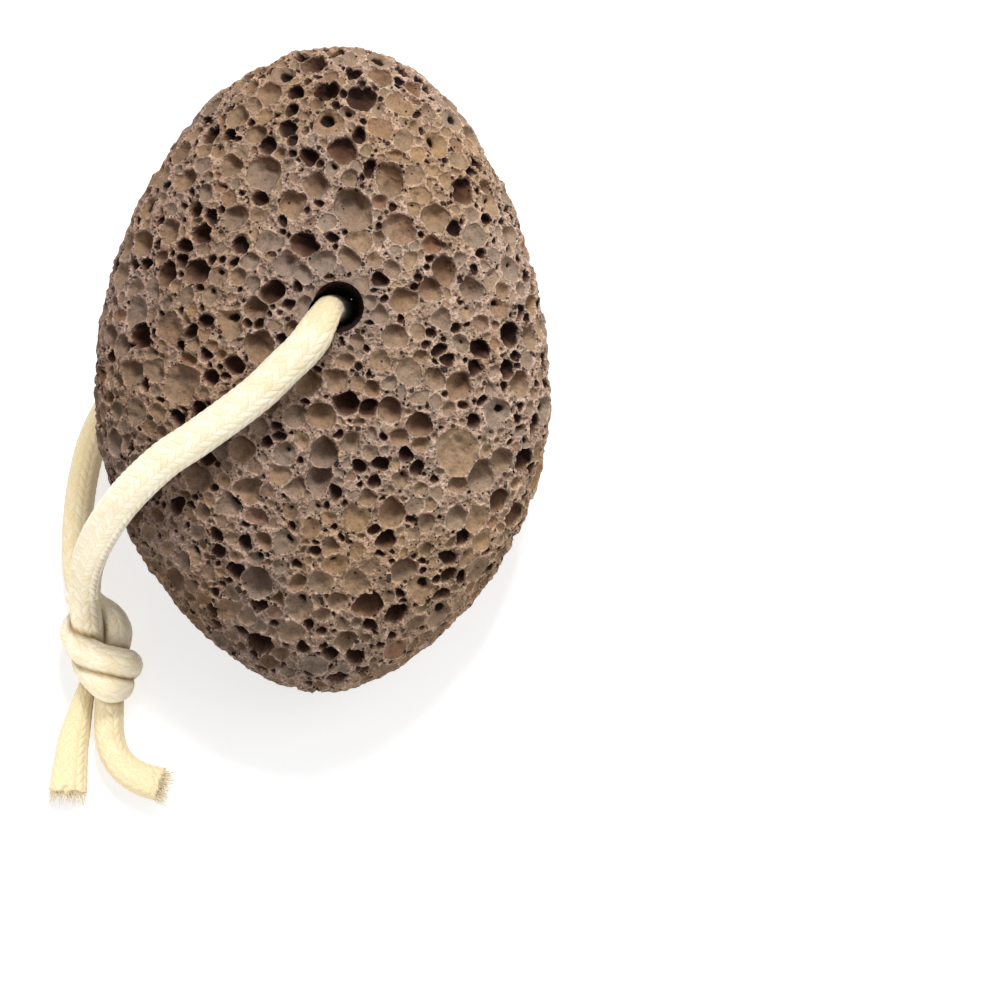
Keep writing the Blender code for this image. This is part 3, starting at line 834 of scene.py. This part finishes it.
def braided_tube(path, widths, thicknesses, side, middle, ends, warmth_and_painted_shade, neighbours=()):
    """A closed braided tube: an oval section carried along a path, with the braid standing on it.

    widths and thicknesses are the section's full sizes at each point of the path, and ends are how
    far each end bulges out. The surface is the oval at (run, turn) plus the braid's height.
    """
    tangents, sides = carried_sides(path, middle, side)
    ups = np.cross(tangents, sides)
    run = np.concatenate(((0,), np.cumsum(np.linalg.norm(np.diff(path, axis=0), axis=1))))
    quarter = np.linspace(0, math.pi / 2, CAP_ROWS + 1)[1:-1]
    station = np.concatenate((np.zeros(len(quarter)), np.arange(len(path)), np.full(len(quarter), len(path) - 1)))
    station = station.astype(int)
    scale = np.concatenate((np.sin(quarter), np.ones(len(path)), np.sin(quarter)[::-1]))
    push = np.concatenate((-np.cos(quarter) * ends[0], np.zeros(len(path)), np.cos(quarter)[::-1] * ends[1]))
    turns = np.arange(TUBE_SIDES) / TUBE_SIDES
    along, turn = np.meshgrid(run[station] + push, turns, indexing="ij")
    height = braid_relief(along, turn)
    angle = 2 * math.pi * turn
    full = scale[:, None] * (1 + (height - 0.6) * 2 * BRAID_HEIGHT / thicknesses[station][:, None])
    across = np.cos(angle) * widths[station][:, None] / 2 * full
    upward = np.sin(angle) * thicknesses[station][:, None] / 2 * full
    middle_line = path[station] + tangents[station] * push[:, None]
    surface = middle_line[:, None] + across[..., None] * sides[station][:, None] + upward[..., None] * ups[station][:, None]
    surface[..., 2] = np.maximum(surface[..., 2], 0.0)
    rows = len(station)
    points = surface.reshape(-1, 3)
    first, last = len(points), len(points) + 1
    poles = np.array((path[0] - tangents[0] * ends[0], path[-1] + tangents[-1] * ends[1]))
    points = np.vstack((points, poles))
    number = np.arange(rows * TUBE_SIDES).reshape(rows, TUBE_SIDES)
    ahead = np.roll(number, -1, axis=1)
    walls = np.stack((number[:-1], ahead[:-1], ahead[1:], number[1:]), -1).reshape(-1, 4)
    spot = np.stack((along, turn), -1)
    spot_ahead = spot + np.array((0, 1 / TUBE_SIDES))
    corners = np.stack((spot[:-1], spot_ahead[:-1], spot_ahead[1:], spot[1:]), -2).reshape(-1, 4, 2)
    triangles = [walls[:, [0, 1, 2]], walls[:, [0, 2, 3]]]
    uv = [corners[:, [0, 1, 2]], corners[:, [0, 2, 3]]]
    for row, pole, order in ((0, first, (1, 0)), (rows - 1, last, (0, 1))):
        pair = (number[row], ahead[row])
        places = (spot[row], spot_ahead[row])
        triangles.append(np.column_stack((pair[order[0]], pair[order[1]], np.full(TUBE_SIDES, pole))))
        uv.append(np.stack((places[order[0]], places[order[1]], places[0]), 1))
    warm = np.append(np.broadcast_to(warmth_and_painted_shade[station][:, None], height.shape).ravel(), (warmth_and_painted_shade[0], warmth_and_painted_shade[-1]))
    ending = np.append(np.broadcast_to((1 - scale)[:, None], height.shape).ravel(), (1.0, 1.0))
    weave = np.column_stack((ending, warm, creases(points, neighbours)))
    return points, np.vstack(triangles), np.vstack(uv), weave


def creases(points, neighbours):
    """1 where a point touches a neighbouring stretch of cord, falling to 0 a little way off."""
    nearest = np.full(len(points), FAR)
    for path in neighbours:
        line = path[::3]
        close = np.flatnonzero(((points > line.min(axis=0) - 5) & (points < line.max(axis=0) + 5)).all(axis=1))
        offset = points[close][:, None] - line[None]
        distance = np.sqrt(np.einsum("ijk,ijk->ij", offset, offset).min(axis=1)) - TURN_WIDTH / 2
        nearest[close] = np.minimum(nearest[close], distance)
    return 1 - smoothstep(0.0, CREASE_REACH, nearest)


def loosened(arrays, path):
    """The tube with its far end swollen unevenly, as a cut braid that has begun to come apart."""
    points, triangles, uv, weave = arrays
    from_end = np.linalg.norm(points - path[-1], axis=1)
    share = 1 - smoothstep(0.0, LOOSE_REACH, from_end)
    shift = np.column_stack([waves(points, 1.5, 24, seed) for seed in (41, 42, 43)])
    points = points + shift * (LOOSE_SIZE * share)[:, None]
    points[:, 2] = np.maximum(points[:, 2], 0.05)
    return points, triangles, uv, weave


def loose_fibres(path, side, width, thickness, warmth_and_painted_shade, seed):
    """Thin fibres that stand out of a cut end: each a tapering tube on a bent line, closed at its foot."""
    rng = np.random.default_rng(seed)
    along = unit(path[-1] - path[-4])
    side = unit(np.array(side) - along * (np.array(side) @ along))
    up = np.cross(along, side)
    turn = rng.uniform(0, 2 * math.pi, FIBRE_COUNT)
    out = side * np.cos(turn)[:, None] * width / 2 + up * np.sin(turn)[:, None] * thickness / 2
    reach = np.sqrt(rng.uniform(0, 1, FIBRE_COUNT))
    foot = path[-1] - along * 0.6 + out * reach[:, None] * 0.92
    lead = unit(along + unit(out) * (reach * rng.uniform(0.0, 0.6, FIBRE_COUNT))[:, None] + rng.normal(0, 0.14, (FIBRE_COUNT, 3)))
    length = rng.uniform(0.9, 2.6, FIBRE_COUNT)[:, None, None]
    bend = rng.normal(0, 0.25, (FIBRE_COUNT, 3)) - np.array((0, 0, 0.15))
    share = np.linspace(0, 1, FIBRE_ROWS)[None, :, None]
    line = foot[:, None] + (lead[:, None] * share + bend[:, None] * share**2) * length
    line[..., 2] = np.maximum(line[..., 2], 0.15)
    one = unit(np.cross(lead, (0.31, 0.52, 0.79)))
    other = np.cross(lead, one)
    angle = np.arange(FIBRE_SIDES) * 2 * math.pi / FIBRE_SIDES
    ring = one[:, None] * np.cos(angle)[None, :, None] + other[:, None] * np.sin(angle)[None, :, None]
    girth = FIBRE_RADIUS * (1 - 0.6 * share)[..., None]
    points = (line[:, :, None] + ring[:, None] * girth).reshape(-1, 3)
    number = np.arange(len(points)).reshape(FIBRE_COUNT, FIBRE_ROWS, FIBRE_SIDES)
    ahead = np.roll(number, -1, axis=2)
    walls = np.stack((number[:, :-1], ahead[:, :-1], ahead[:, 1:], number[:, 1:]), -1).reshape(-1, 4)
    ends = np.vstack((number[:, 0, ::-1], number[:, -1]))
    triangles = np.vstack((walls[:, [0, 1, 2]], walls[:, [0, 2, 3]], ends))
    uv = np.broadcast_to(FIBRE_SPOT, (len(triangles), 3, 2))
    weave = np.column_stack((np.zeros(len(points)), np.full(len(points), warmth_and_painted_shade), np.zeros(len(points))))
    return points, triangles, uv, weave


def joined(parts):
    """Several closed tubes as one mesh's arrays."""
    points, triangles, uv, weave = [], [], [], []
    first = 0
    for part in parts:
        points.append(part[0])
        triangles.append(part[1] + first)
        uv.append(part[2])
        weave.append(part[3])
        first += len(part[0])
    return np.vstack(points), np.vstack(triangles), np.vstack(uv), np.vstack(weave)


def make_piece(name, points, triangles, material, fields, uv=None, rims=None):
    """A mesh object from arrays in millimetres, with its fields as attributes and its rims left sharp."""
    mesh = bpy.data.meshes.new(name)
    mesh.vertices.add(len(points))
    mesh.vertices.foreach_set("co", (points * MM).ravel())
    mesh.loops.add(triangles.size)
    mesh.loops.foreach_set("vertex_index", triangles.ravel())
    mesh.polygons.add(len(triangles))
    mesh.polygons.foreach_set("loop_start", np.arange(0, triangles.size, 3))
    mesh.polygons.foreach_set("use_smooth", np.ones(len(triangles), bool))
    for field, values in fields.items():
        domain = "POINT" if len(values) == len(points) else "CORNER"
        mesh.attributes.new(field, "FLOAT_VECTOR", domain).data.foreach_set("vector", values.ravel())
    if uv is not None:
        mesh.uv_layers.new(name="braid").data.foreach_set("uv", uv.ravel())
    mesh.update(calc_edges=True)
    if rims is not None:
        ends = np.empty(2 * len(mesh.edges), np.int32)
        mesh.edges.foreach_get("vertices", ends)
        sharp = rims[ends.reshape(-1, 2)].all(axis=1)
        mesh.attributes.new("sharp_edge", "BOOLEAN", "EDGE").data.foreach_set("value", sharp)
    mesh.materials.append(material)
    piece = bpy.data.objects.new(name, mesh)
    bpy.context.scene.collection.objects.link(piece)
    return piece


class Socket:
    """A number in a material's node tree. Arithmetic on it adds Math nodes."""

    def __init__(self, finish, link):
        self.finish = finish
        self.link = link

    def math(self, operation, *values, clamp=False):
        settings = {"operation": operation, "use_clamp": clamp}
        return self.finish.node("ShaderNodeMath", settings, dict(enumerate(values)))

    def __add__(self, other):
        return self.math("ADD", self, other)

    def __sub__(self, other):
        return self.math("SUBTRACT", self, other)

    def __rsub__(self, other):
        return self.math("SUBTRACT", other, self)

    def __mul__(self, other):
        return self.math("MULTIPLY", self, other)

    def __truediv__(self, other):
        return self.math("DIVIDE", self, other)

    def __pow__(self, other):
        return self.math("POWER", self, other)

    __radd__ = __add__
    __rmul__ = __mul__

    def smooth(self, low, high):
        """0 below low, 1 above high and a smooth climb between them."""
        settings = {"interpolation_type": "SMOOTHSTEP"}
        return self.finish.node("ShaderNodeMapRange", settings, {"Value": self, "From Min": low, "From Max": high})

    def floor(self):
        return self.math("FLOOR", self)

    def fraction(self):
        return self.math("FRACT", self)


class Finish:
    """One material and the nodes that go into it."""

    def __init__(self, name):
        self.material = bpy.data.materials.new(name)
        self.material.use_nodes = True
        self.tree = self.material.node_tree
        self.shader = self.tree.nodes["Principled BSDF"]

    def node(self, kind, settings=None, sockets=None, output=0):
        """Adds a node, sets it up, then fills or links its sockets. Returns one of its outputs."""
        made = self.tree.nodes.new(kind)
        for name, value in (settings or {}).items():
            if name == "stops":
                ramp = made.color_ramp
                while len(ramp.elements) < len(value):
                    ramp.elements.new(0.5)
                for element, (place, colour) in zip(ramp.elements, value):
                    element.position, element.color = place, colour
            else:
                setattr(made, name, value)
        for name, value in (sockets or {}).items():
            self.fill(made.inputs[name], value)
        return Socket(self, made.outputs[output])

    def fill(self, socket, value):
        if isinstance(value, Socket):
            self.tree.links.new(value.link, socket)
        else:
            socket.default_value = value

    def set(self, name, value):
        self.fill(self.shader.inputs[name], value)

    def place(self):
        return self.node("ShaderNodeTexCoord", output="Object")

    def attribute(self, name):
        """The three numbers of a vector attribute."""
        vector = self.node("ShaderNodeAttribute", {"attribute_name": name}, output="Vector")
        return self.parts(vector)

    def parts(self, vector):
        split = self.node("ShaderNodeSeparateXYZ", sockets={0: vector}).link.node
        return [Socket(self, output) for output in split.outputs]

    def noise(self, size, detail=2.0, roughness=0.5, vector=None):
        """Noise from 0 to 1 whose lumps are about this size in metres."""
        values = {"Vector": vector or self.place(), "Scale": 1 / size, "Detail": detail, "Roughness": roughness}
        return self.node("ShaderNodeTexNoise", sockets=values)

    def froth(self, size):
        """Distance from scattered points, in shares of their spacing: low in each small cell's middle."""
        values = {"Vector": self.place(), "Scale": 1 / size, "Randomness": 1.0}
        return self.node("ShaderNodeTexVoronoi", {"voronoi_dimensions": "3D"}, values)

    def mix(self, share, one, other, blend="MIX"):
        """One colour where share is 0 and the other where it is 1."""
        settings = {"data_type": "RGBA", "blend_type": blend}
        return self.node("ShaderNodeMix", settings, {0: share, 6: one, 7: other}, output=2)

    def length(self, one, other):
        """How long the step with these two parts is."""
        return (one * one + other * other) ** 0.5

    def grey(self, value):
        """A colour whose three parts are this value."""
        return self.node("ShaderNodeCombineXYZ", sockets={0: value, 1: value, 2: value})

    def bump(self, height, distance, strength=1.0, normal=None):
        values = {"Height": height, "Distance": distance, "Strength": strength}
        if normal is not None:
            values["Normal"] = normal
        return self.node("ShaderNodeBump", sockets=values)


def rgba(colour):
    return (*colour, 1.0)


def pinholes(finish, size, largest, crowd):
    """Painted shade of pinholes: 1 within a random small distance of scattered points, more of them where crowd is
    high.
    """
    distance = finish.froth(size)
    colour = Socket(finish, distance.link.node.outputs["Color"])
    chance = finish.parts(colour)[0]
    reach = (chance * 0.8 + 0.2) * crowd * largest
    return 1 - (distance - reach).smooth(-0.05, 0.03)


def pumice_finish(settings):
    """Foamed lava: pale gritty ridges and smoother bowls in greys and tans, with painted shade in the bowls,
    near-black painted shade in deep bubbles and specks, a darker left side and painted highlights on the rims.
    """
    finish = Finish("pumice")
    inside, dark, window = finish.attribute("relief")
    one, two, ratio = finish.attribute("tint")
    lean_side, _, drilled = finish.attribute("bubble")
    across, along, up = finish.attribute("form")
    grit = finish.noise(0.34 * MM, 3.0, 0.65)
    grain = finish.noise(0.8 * MM, 2.0, 0.6)
    cloud = finish.noise(7 * MM, 2.0)
    patch = finish.noise(1.8 * MM, 3.0)

    ridge = 1 - inside.smooth(0.02, 0.26)
    painted_rim_highlight = 1 - inside.math("ABSOLUTE", inside - 0.02).smooth(0.0, 0.16)
    bowl = finish.mix((one * 0.9 + cloud * 1.2 - 0.55).smooth(0.1, 0.9), rgba(settings.grey), rgba(settings.tan))
    bowl = finish.mix(two.smooth(0.90, 1.0) * (0.2 + 0.6 * patch), bowl, rgba(settings.rust))
    # Painted shade: bowls are darkened the deeper they are for their reach.
    bowl = finish.mix(dark.smooth(0.45, 1.15) * 0.6, bowl, rgba(settings.floor), "MULTIPLY")
    # Painted shade: the side of each bowl that its depth leans towards is darkened to the wall colour.
    shadowed = lean_side.smooth(0.05, 0.85) * ratio.smooth(0.35, 0.8)
    bowl = finish.mix(shadowed * (0.5 + 0.5 * two), bowl, rgba(settings.wall))
    colour = finish.mix(ridge * (0.35 + 0.8 * patch), bowl, rgba(settings.ridge))
    # Painted highlight along the bubbles' thin rims.
    colour = finish.mix(painted_rim_highlight * (patch * 1.5 - 0.3), colour, rgba(settings.painted_rim_highlight))
    # The left side is made greyer and darker: partly the stone's own greyer tone, partly painted shade for light
    # that falls from the right.
    shade = (1 - across.smooth(-34 * MM, 32 * MM)) * 0.8
    colour = finish.mix(shade, colour, rgba(settings.shade), "MULTIPLY")
    region = finish.noise(24 * MM, 1.0).smooth(0.40, 0.60)
    colour = finish.mix(region * 0.8, colour, rgba(settings.sunned), "MULTIPLY")
    froth = finish.froth(0.8 * MM).smooth(0.12, 0.62) * (0.3 + 0.7 * ridge)
    gritty = 0.3 + 0.7 * ridge
    rough = gritty * ((grit - 0.5) * 3.1 + (grain - 0.5) * 1.2) + (patch - 0.5) * 0.8 + froth * 0.3 + 0.9
    colour = finish.mix(1.0, colour, finish.grey(rough), "MULTIPLY")
    near_hole = 1 - finish.length(across - HOLE_PLACE[0] * MM, along - HOLE_PLACE[1] * MM).smooth(4.5 * MM, 9.5 * MM)
    colour = finish.mix(near_hole * up.smooth(-2 * MM, 2 * MM) * 0.45, colour, rgba(settings.worn))
    deep = ratio.smooth(0.95, 1.2)
    # Painted shade: deep bubbles and the drilled hole's wall take the dark wall colour, less of it on the side away
    # from the lean.
    burst = drilled.math("MAXIMUM", drilled, inside.smooth(0.0, 0.12) * deep)
    colour = finish.mix(burst * (0.92 - 0.5 * (1 - lean_side).smooth(1.2, 2.0)), colour, rgba(settings.wall))
    # Painted shade: deep bubbles, the hole's wall and the windows in bowl floors go near black, most on the side
    # that their depth leans to.
    pit_painted_shade = dark.smooth(0.56, 1.22) * (1 - one * 0.4)
    black_side = (lean_side - one * 0.8).smooth(-0.5, 0.0)
    pit_painted_shade = pit_painted_shade.math("MAXIMUM", pit_painted_shade, inside.smooth(0.0, 0.10) * black_side) * deep
    pit_painted_shade = pit_painted_shade.math("MAXIMUM", pit_painted_shade, window.smooth(0.0, 0.16))
    colour = finish.mix(pit_painted_shade * 0.95, colour, rgba(settings.deep))
    # Painted shade of the small pinholes, near black.
    crowd = finish.noise(3.2 * MM, 1.0).smooth(0.40, 0.66)
    specks = pinholes(finish, 1.15 * MM, 0.46, (0.38 + 0.62 * ridge) * (0.3 + 0.7 * crowd))
    dots = pinholes(finish, 0.6 * MM, 0.41, (0.34 + 0.66 * ridge) * crowd * 0.95)
    holes = specks.math("MAXIMUM", specks, dots)
    colour = finish.mix(holes * 0.9, colour, rgba(settings.deep))
    finish.set("Base Color", colour)
    finish.set("Roughness", 0.93)
    finish.set("Specular IOR Level", 0.2)
    height = gritty * ((grit - 0.5) * 0.9 + (grain - 0.5) * 0.8) + patch * 0.4 + froth * 0.7 - holes * 1.2
    finish.set("Normal", finish.bump(height, 0.34 * MM, 1.0))
    return finish.material


def cotton_finish(settings):
    """Undyed cotton: cream stitches of fine fibres, with painted shade in olive-tan in the gaps between them and
    where stretches of cord touch.
    """
    finish = Finish("cotton")
    ending, warmth_and_painted_shade, crease_painted_shade = finish.attribute("weave")
    run, turn, _ = finish.parts(finish.node("ShaderNodeUVMap", {"uv_map": "braid"}))
    column = turn * BRAID_COLUMNS
    lane = column.floor()
    odd = (lane * 0.5).fraction() * 2
    across = (column - lane) * 2 - 1
    phase = run * (1 / BRAID_PITCH) + (1 - odd * 2) * across * BRAID_SLANT + odd * 0.5
    beat = phase.fraction()
    yarn = (phase * BRAID_YARNS).fraction()
    crown = 1 - across * across * 0.8
    stitch = (beat * (1 - beat) * 4) ** 0.5 * crown
    strand = (yarn * (1 - yarn) * 4) ** 0.5
    kind = ((phase.floor() * 7.13 + lane * 3.71) * 12.9898).fraction()
    fibre_place = finish.node("ShaderNodeCombineXYZ", sockets={0: phase * 2.0, 1: across * 0.8 + lane * 5.0, 2: 0.0})
    fibre_place = finish.node("ShaderNodeTexNoise", sockets={"Vector": fibre_place, "Scale": 4.0, "Detail": 3.0})
    soft = finish.noise(3.5 * MM, 2.0)
    fuzz = finish.noise(0.22 * MM, 2.0, 0.6)
    height = stitch * 0.6 + strand * 0.22 + fuzz * 0.35
    gap = 1 - (stitch * 0.75 + strand * 0.25)
    # The warmer, darker cream: partly dirt, partly painted shade.
    colour = finish.mix((kind * 0.35 + soft * 0.5 + warmth_and_painted_shade - 0.1).smooth(0.0, 1.0), rgba(settings.cream), rgba(settings.warm))
    # Painted shade in the gaps between the stitches.
    colour = finish.mix(gap.smooth(0.42, 0.98) * 0.55, colour, rgba(settings.gap))
    colour = finish.mix(1.0, colour, finish.grey((fuzz - 0.5) * 0.35 + (fibre_place - 0.5) * 0.25 + 1.0), "MULTIPLY")
    # Painted shade where stretches of cord touch.
    colour = finish.mix(crease_painted_shade * (0.5 + 0.6 * soft + 0.2 * gap), colour, rgba(settings.crease_painted_shade))
    colour = finish.mix(ending * 0.5, colour, rgba(settings.warm))
    finish.set("Base Color", colour)
    finish.set("Roughness", 0.9)
    finish.set("Specular IOR Level", 0.2)
    finish.set("Sheen Weight", 0.3)
    finish.set("Sheen Roughness", 0.5)
    finish.set("Normal", finish.bump(height, 0.13 * MM, 0.8))
    return finish.material


class FootStoneSettings(bpy.types.PropertyGroup):
    """The stone's colours."""

    ridge: FloatVectorProperty(
        name="Ridge colour", description="Thin walls between the bubbles", subtype="COLOR", default=(0.325, 0.219, 0.158)
    )
    # The colour of the painted highlight along the bubbles' rims.
    painted_rim_highlight: FloatVectorProperty(name="Rim colour", description="The thin rims of the bubbles", subtype="COLOR", default=(0.48, 0.352, 0.275))
    tan: FloatVectorProperty(name="Tan bowls", description="Warmer bubble floors", subtype="COLOR", default=(0.315, 0.205, 0.122))
    grey: FloatVectorProperty(name="Grey bowls", description="Cooler bubble floors", subtype="COLOR", default=(0.258, 0.188, 0.139))
    rust: FloatVectorProperty(name="Rusty bowls", description="Iron stains in a few bubbles", subtype="COLOR", default=(0.25, 0.105, 0.06))
    # Tint of the left side: partly the stone's own greyer tone, partly painted shade for light that falls from the
    # right.
    shade: FloatVectorProperty(name="Grey side", description="Tint of the greyer side", subtype="COLOR", default=(0.74, 0.71, 0.76))
    # The colour of the painted shade in the deeper parts of the bowls.
    floor: FloatVectorProperty(name="Bowl depth", description="Tint of the bubbles' deeper parts", subtype="COLOR", default=(0.42, 0.33, 0.27))
    sunned: FloatVectorProperty(name="Sunned", description="Tint of the yellower regions", subtype="COLOR", default=(1.0, 0.93, 0.78))
    worn: FloatVectorProperty(name="Worn rim", description="The greyer stone round the drilled hole", subtype="COLOR", default=(0.23, 0.175, 0.145))
    # The dark brown of the painted shade in bowls, deep bubbles and the drilled hole.
    wall: FloatVectorProperty(name="Burst walls", description="The brown walls of the deep bubbles", subtype="COLOR", default=(0.115, 0.047, 0.027))
    # The near black of the painted shade in deep bubbles, windows and pinholes.
    deep: FloatVectorProperty(name="Deep bubbles", description="The dark of the deep bubbles", subtype="COLOR", default=(0.012, 0.005, 0.004))


class FootStoneCordSettings(bpy.types.PropertyGroup):
    """The cord's sizes and colours."""

    front_width: FloatProperty(name="Front width", description="Width of the flattened front part", unit="LENGTH", default=5.7 * MM)
    front_thickness: FloatProperty(name="Front thickness", description="Thickness of the front part", unit="LENGTH", default=4.3 * MM)
    back_width: FloatProperty(name="Back width", description="Width of the part behind", unit="LENGTH", default=4.7 * MM)
    back_thickness: FloatProperty(name="Back thickness", description="Thickness of the part behind", unit="LENGTH", default=4.6 * MM)
    cream: FloatVectorProperty(name="Cream", description="Lightest stitches", subtype="COLOR", default=(0.77, 0.71, 0.57))
    # The warmer, darker cream: partly dirt and partly painted shade; it also colours the tubes' ends.
    warm: FloatVectorProperty(name="Warm cream", description="Warmer stitches", subtype="COLOR", default=(0.66, 0.54, 0.33))
    # The colour of the painted shade where stretches of cord touch.
    crease_painted_shade: FloatVectorProperty(name="Crease colour", description="Where stretches of cord touch", subtype="COLOR", default=(0.30, 0.19, 0.06))
    # The colour of the painted shade between the stitches.
    gap: FloatVectorProperty(name="Gap colour", description="Between the stitches", subtype="COLOR", default=(0.58, 0.49, 0.24))


class FootStoneStageSettings(bpy.types.PropertyGroup):
    """The light on the stage."""

    key_power: FloatProperty(name="Key light", description="Power of the soft light beyond the narrow end", unit="POWER", default=11.0)
    glow: FloatProperty(name="Floor glow", description="How much the pale floor shines of itself", default=0.65)
    sky: FloatProperty(name="Sky", description="Strength of the even light all round", default=0.44)


class FOOTSTONE_OT_stage(bpy.types.Operator):
    """Adds the floor, the soft lights and the camera that looks down on the stone's face"""

    bl_idname = "footstone.stage"
    bl_label = "Stage"

    def execute(self, context):
        settings = context.scene.foot_stone_stage
        scene = context.scene
        floor_mesh = bpy.data.meshes.new("floor")
        far = FLOOR_REACH
        floor_mesh.from_pydata([(-far, -far, 0), (far, -far, 0), (far, far, 0), (-far, far, 0)], [], [(0, 1, 2, 3)])
        finish = Finish("floor")
        finish.set("Base Color", rgba(FLOOR_COLOUR))
        finish.set("Emission Color", (1.0, 1.0, 1.0, 1.0))
        finish.set("Emission Strength", settings.glow)
        finish.set("Roughness", 0.9)
        floor_mesh.materials.append(finish.material)
        floor = bpy.data.objects.new("floor", floor_mesh)
        scene.collection.objects.link(floor)

        world = bpy.data.worlds.new("sky")
        world.use_nodes = True
        world.node_tree.nodes["Background"].inputs["Color"].default_value = (1, 1, 1, 1)
        world.node_tree.nodes["Background"].inputs["Strength"].default_value = settings.sky
        scene.world = world
        for name, place, size, share in LIGHTS:
            light = bpy.data.lights.new(name, "AREA")
            light.energy = settings.key_power * share
            light.size = size
            lamp = bpy.data.objects.new(name, light)
            lamp.location = place
            lamp.rotation_euler = Vector(place).to_track_quat("Z", "Y").to_euler()
            scene.collection.objects.link(lamp)
            if name == CORD_LIGHT:
                lamp.visible_camera = False
                lamp.light_linking.receiver_collection = bpy.data.collections.new(CORD_LIGHT)

        turn = resting_turn()
        camera_data = bpy.data.cameras.new("camera")
        camera_data.sensor_width = SENSOR_WIDTH
        camera_data.lens = SENSOR_WIDTH * VIEW_DISTANCE / VIEW_WIDTH
        camera_data.clip_start = 0.01
        camera = bpy.data.objects.new("camera", camera_data)
        height = resting_height()
        camera.location = (turn @ Vector((*VIEW_CENTRE, VIEW_DISTANCE)) + Vector((0, 0, height))) * MM
        camera.rotation_euler = turn.to_euler()
        scene.collection.objects.link(camera)
        scene.camera = camera
        scene.view_settings.view_transform = "Standard"
        return {"FINISHED"}


class FOOTSTONE_OT_cords(bpy.types.Operator):
    """Adds the braided cord: its front and back parts, the knot and the two tails"""

    bl_idname = "footstone.cords"
    bl_label = "Cord"

    def execute(self, context):
        settings = context.scene.foot_stone_cord
        material = cotton_finish(settings)
        front_size = (settings.front_width / MM, settings.front_thickness / MM)
        back_size = (settings.back_width / MM, settings.back_thickness / MM)
        turns = [smooth_route(turn, ROW_SPACING, 1.2) for turn in KNOT_TURNS]
        bands = turns[2:]
        strands = {}
        for name, route, size, side, width, warmth_and_painted_shade, near in (
            ("front", FRONT_ROUTE, front_size, (0.66, -0.75, 0.0), FRONT_WIDTHS, FRONT_WARMTH_AND_SHADE, [turns[1], *bands]),
            ("back", BACK_ROUTE, back_size, (0.0, 1.0, 0.0), BACK_WIDTHS, BACK_WARMTH_AND_SHADE, [turns[0], *bands]),
        ):
            path = smooth_route(route, ROW_SPACING)
            share = np.linspace(0, 1, len(path))
            widths = size[0] * np.interp(share, *zip(*width))
            thicknesses = np.full(len(path), size[1])
            warmths = np.interp(share, *zip(*warmth_and_painted_shade))
            arrays = braided_tube(path, widths, thicknesses, side, len(path) // 2, (0.6, 0.6), warmths, near)
            piece = self.add(f"braided_{name}_strand", arrays, material, f"cord_{name}_strand")
            strands[name] = (piece, path, size)
        tails = []
        for name, route, shape, seed in (("left", TAIL_LEFT_ROUTE, LEFT_TAIL, 51), ("right", TAIL_RIGHT_ROUTE, RIGHT_TAIL, 52)):
            path = smooth_route(route, ROW_SPACING)
            share = np.linspace(0, 2, len(path))
            widths, thicknesses, warmths = (np.interp(share, (0, 1, 2), values) for values in shape)
            side = (1.0, 0.0, 0.0)
            arrays = braided_tube(path, widths, thicknesses, side, 0, (0.8, 0.3), warmths, bands)
            sides = carried_sides(path, 0, side)[1]
            fibres = loose_fibres(path, sides[-1], widths[-1], thicknesses[-1], warmths[-1], seed)
            arrays = joined([loosened(arrays, path), fibres])
            tails.append(self.add(f"braided_tail_{name}", arrays, material, f"cord_tail_{name}"))
        knot_parts = []
        for number, path in enumerate(turns):
            size = np.full(len(path), TURN_WIDTH)
            near = [other for place, other in enumerate(turns) if place != number]
            knot_parts.append(braided_tube(path, size, size, (0.0, 0.0, 1.0), 0, (1.0, 1.0), np.full(len(path), 0.15), near))
        knot = self.add("braided_knot", joined(knot_parts), material, "cord_knot")
        for name, mouth, along in (("front", FRONT_MOUTH, [knot, *tails]), ("back", BACK_MOUTH, [])):
            piece, path, size = strands[name]
            max(size) * MM
            path * MM
        return {"FINISHED"}

    def add(self, name, arrays, material, node):
        """One braided piece in place of a plain node of the cord."""
        points, triangles, uv, weave = arrays
        piece = make_piece(name, points, triangles, material, {"weave": weave}, uv)
        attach(piece, "root")
        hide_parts(node)
        bpy.data.collections[CORD_LIGHT].objects.link(piece)
        return piece


class FOOTSTONE_OT_stone(bpy.types.Operator):
    """Adds the pitted skin of the stone, with its drilled hole and its worn flat"""

    bl_idname = "footstone.stone"
    bl_label = "Stone"

    def execute(self, context):
        material = pumice_finish(context.scene.foot_stone)
        points, triangles, fields, rims = stone_skin()
        stone = make_piece("pumice_stone", points, triangles, material, fields, rims=rims)
        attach(stone, "root")
        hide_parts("stone")
        return {"FINISHED"}


class FOOTSTONE_PT_panel(bpy.types.Panel):
    """Lists the settings and the steps that build the stone"""

    bl_idname = "FOOTSTONE_PT_panel"
    bl_label = "Foot Stone"
    bl_space_type = "VIEW_3D"
    bl_region_type = "UI"
    bl_category = "Foot Stone"

    def draw(self, context):
        for group in SETTINGS:
            settings = getattr(context.scene, group)
            for name in settings.bl_rna.properties.keys():
                if name not in ("rna_type", "name"):
                    self.layout.prop(settings, name)
        for operator in STEPS:
            self.layout.operator(operator.bl_idname)


STEPS = (FOOTSTONE_OT_stage, FOOTSTONE_OT_cords, FOOTSTONE_OT_stone)
SETTINGS = {
    "foot_stone": FootStoneSettings,
    "foot_stone_cord": FootStoneCordSettings,
    "foot_stone_stage": FootStoneStageSettings,
}


def register():
    for group in (*SETTINGS.values(), *STEPS, FOOTSTONE_PT_panel):
        bpy.utils.register_class(group)
    for name, group in SETTINGS.items():
        setattr(bpy.types.Scene, name, PointerProperty(type=group))


def unregister():
    for name in SETTINGS:
        delattr(bpy.types.Scene, name)
    for group in (FOOTSTONE_PT_panel, *reversed(STEPS), *reversed(SETTINGS.values())):
        bpy.utils.unregister_class(group)


def main():
    register()
    bpy.ops.footstone.stage()
    bpy.ops.footstone.cords()
    bpy.ops.footstone.stone()


if __name__ == "__main__":
    main()
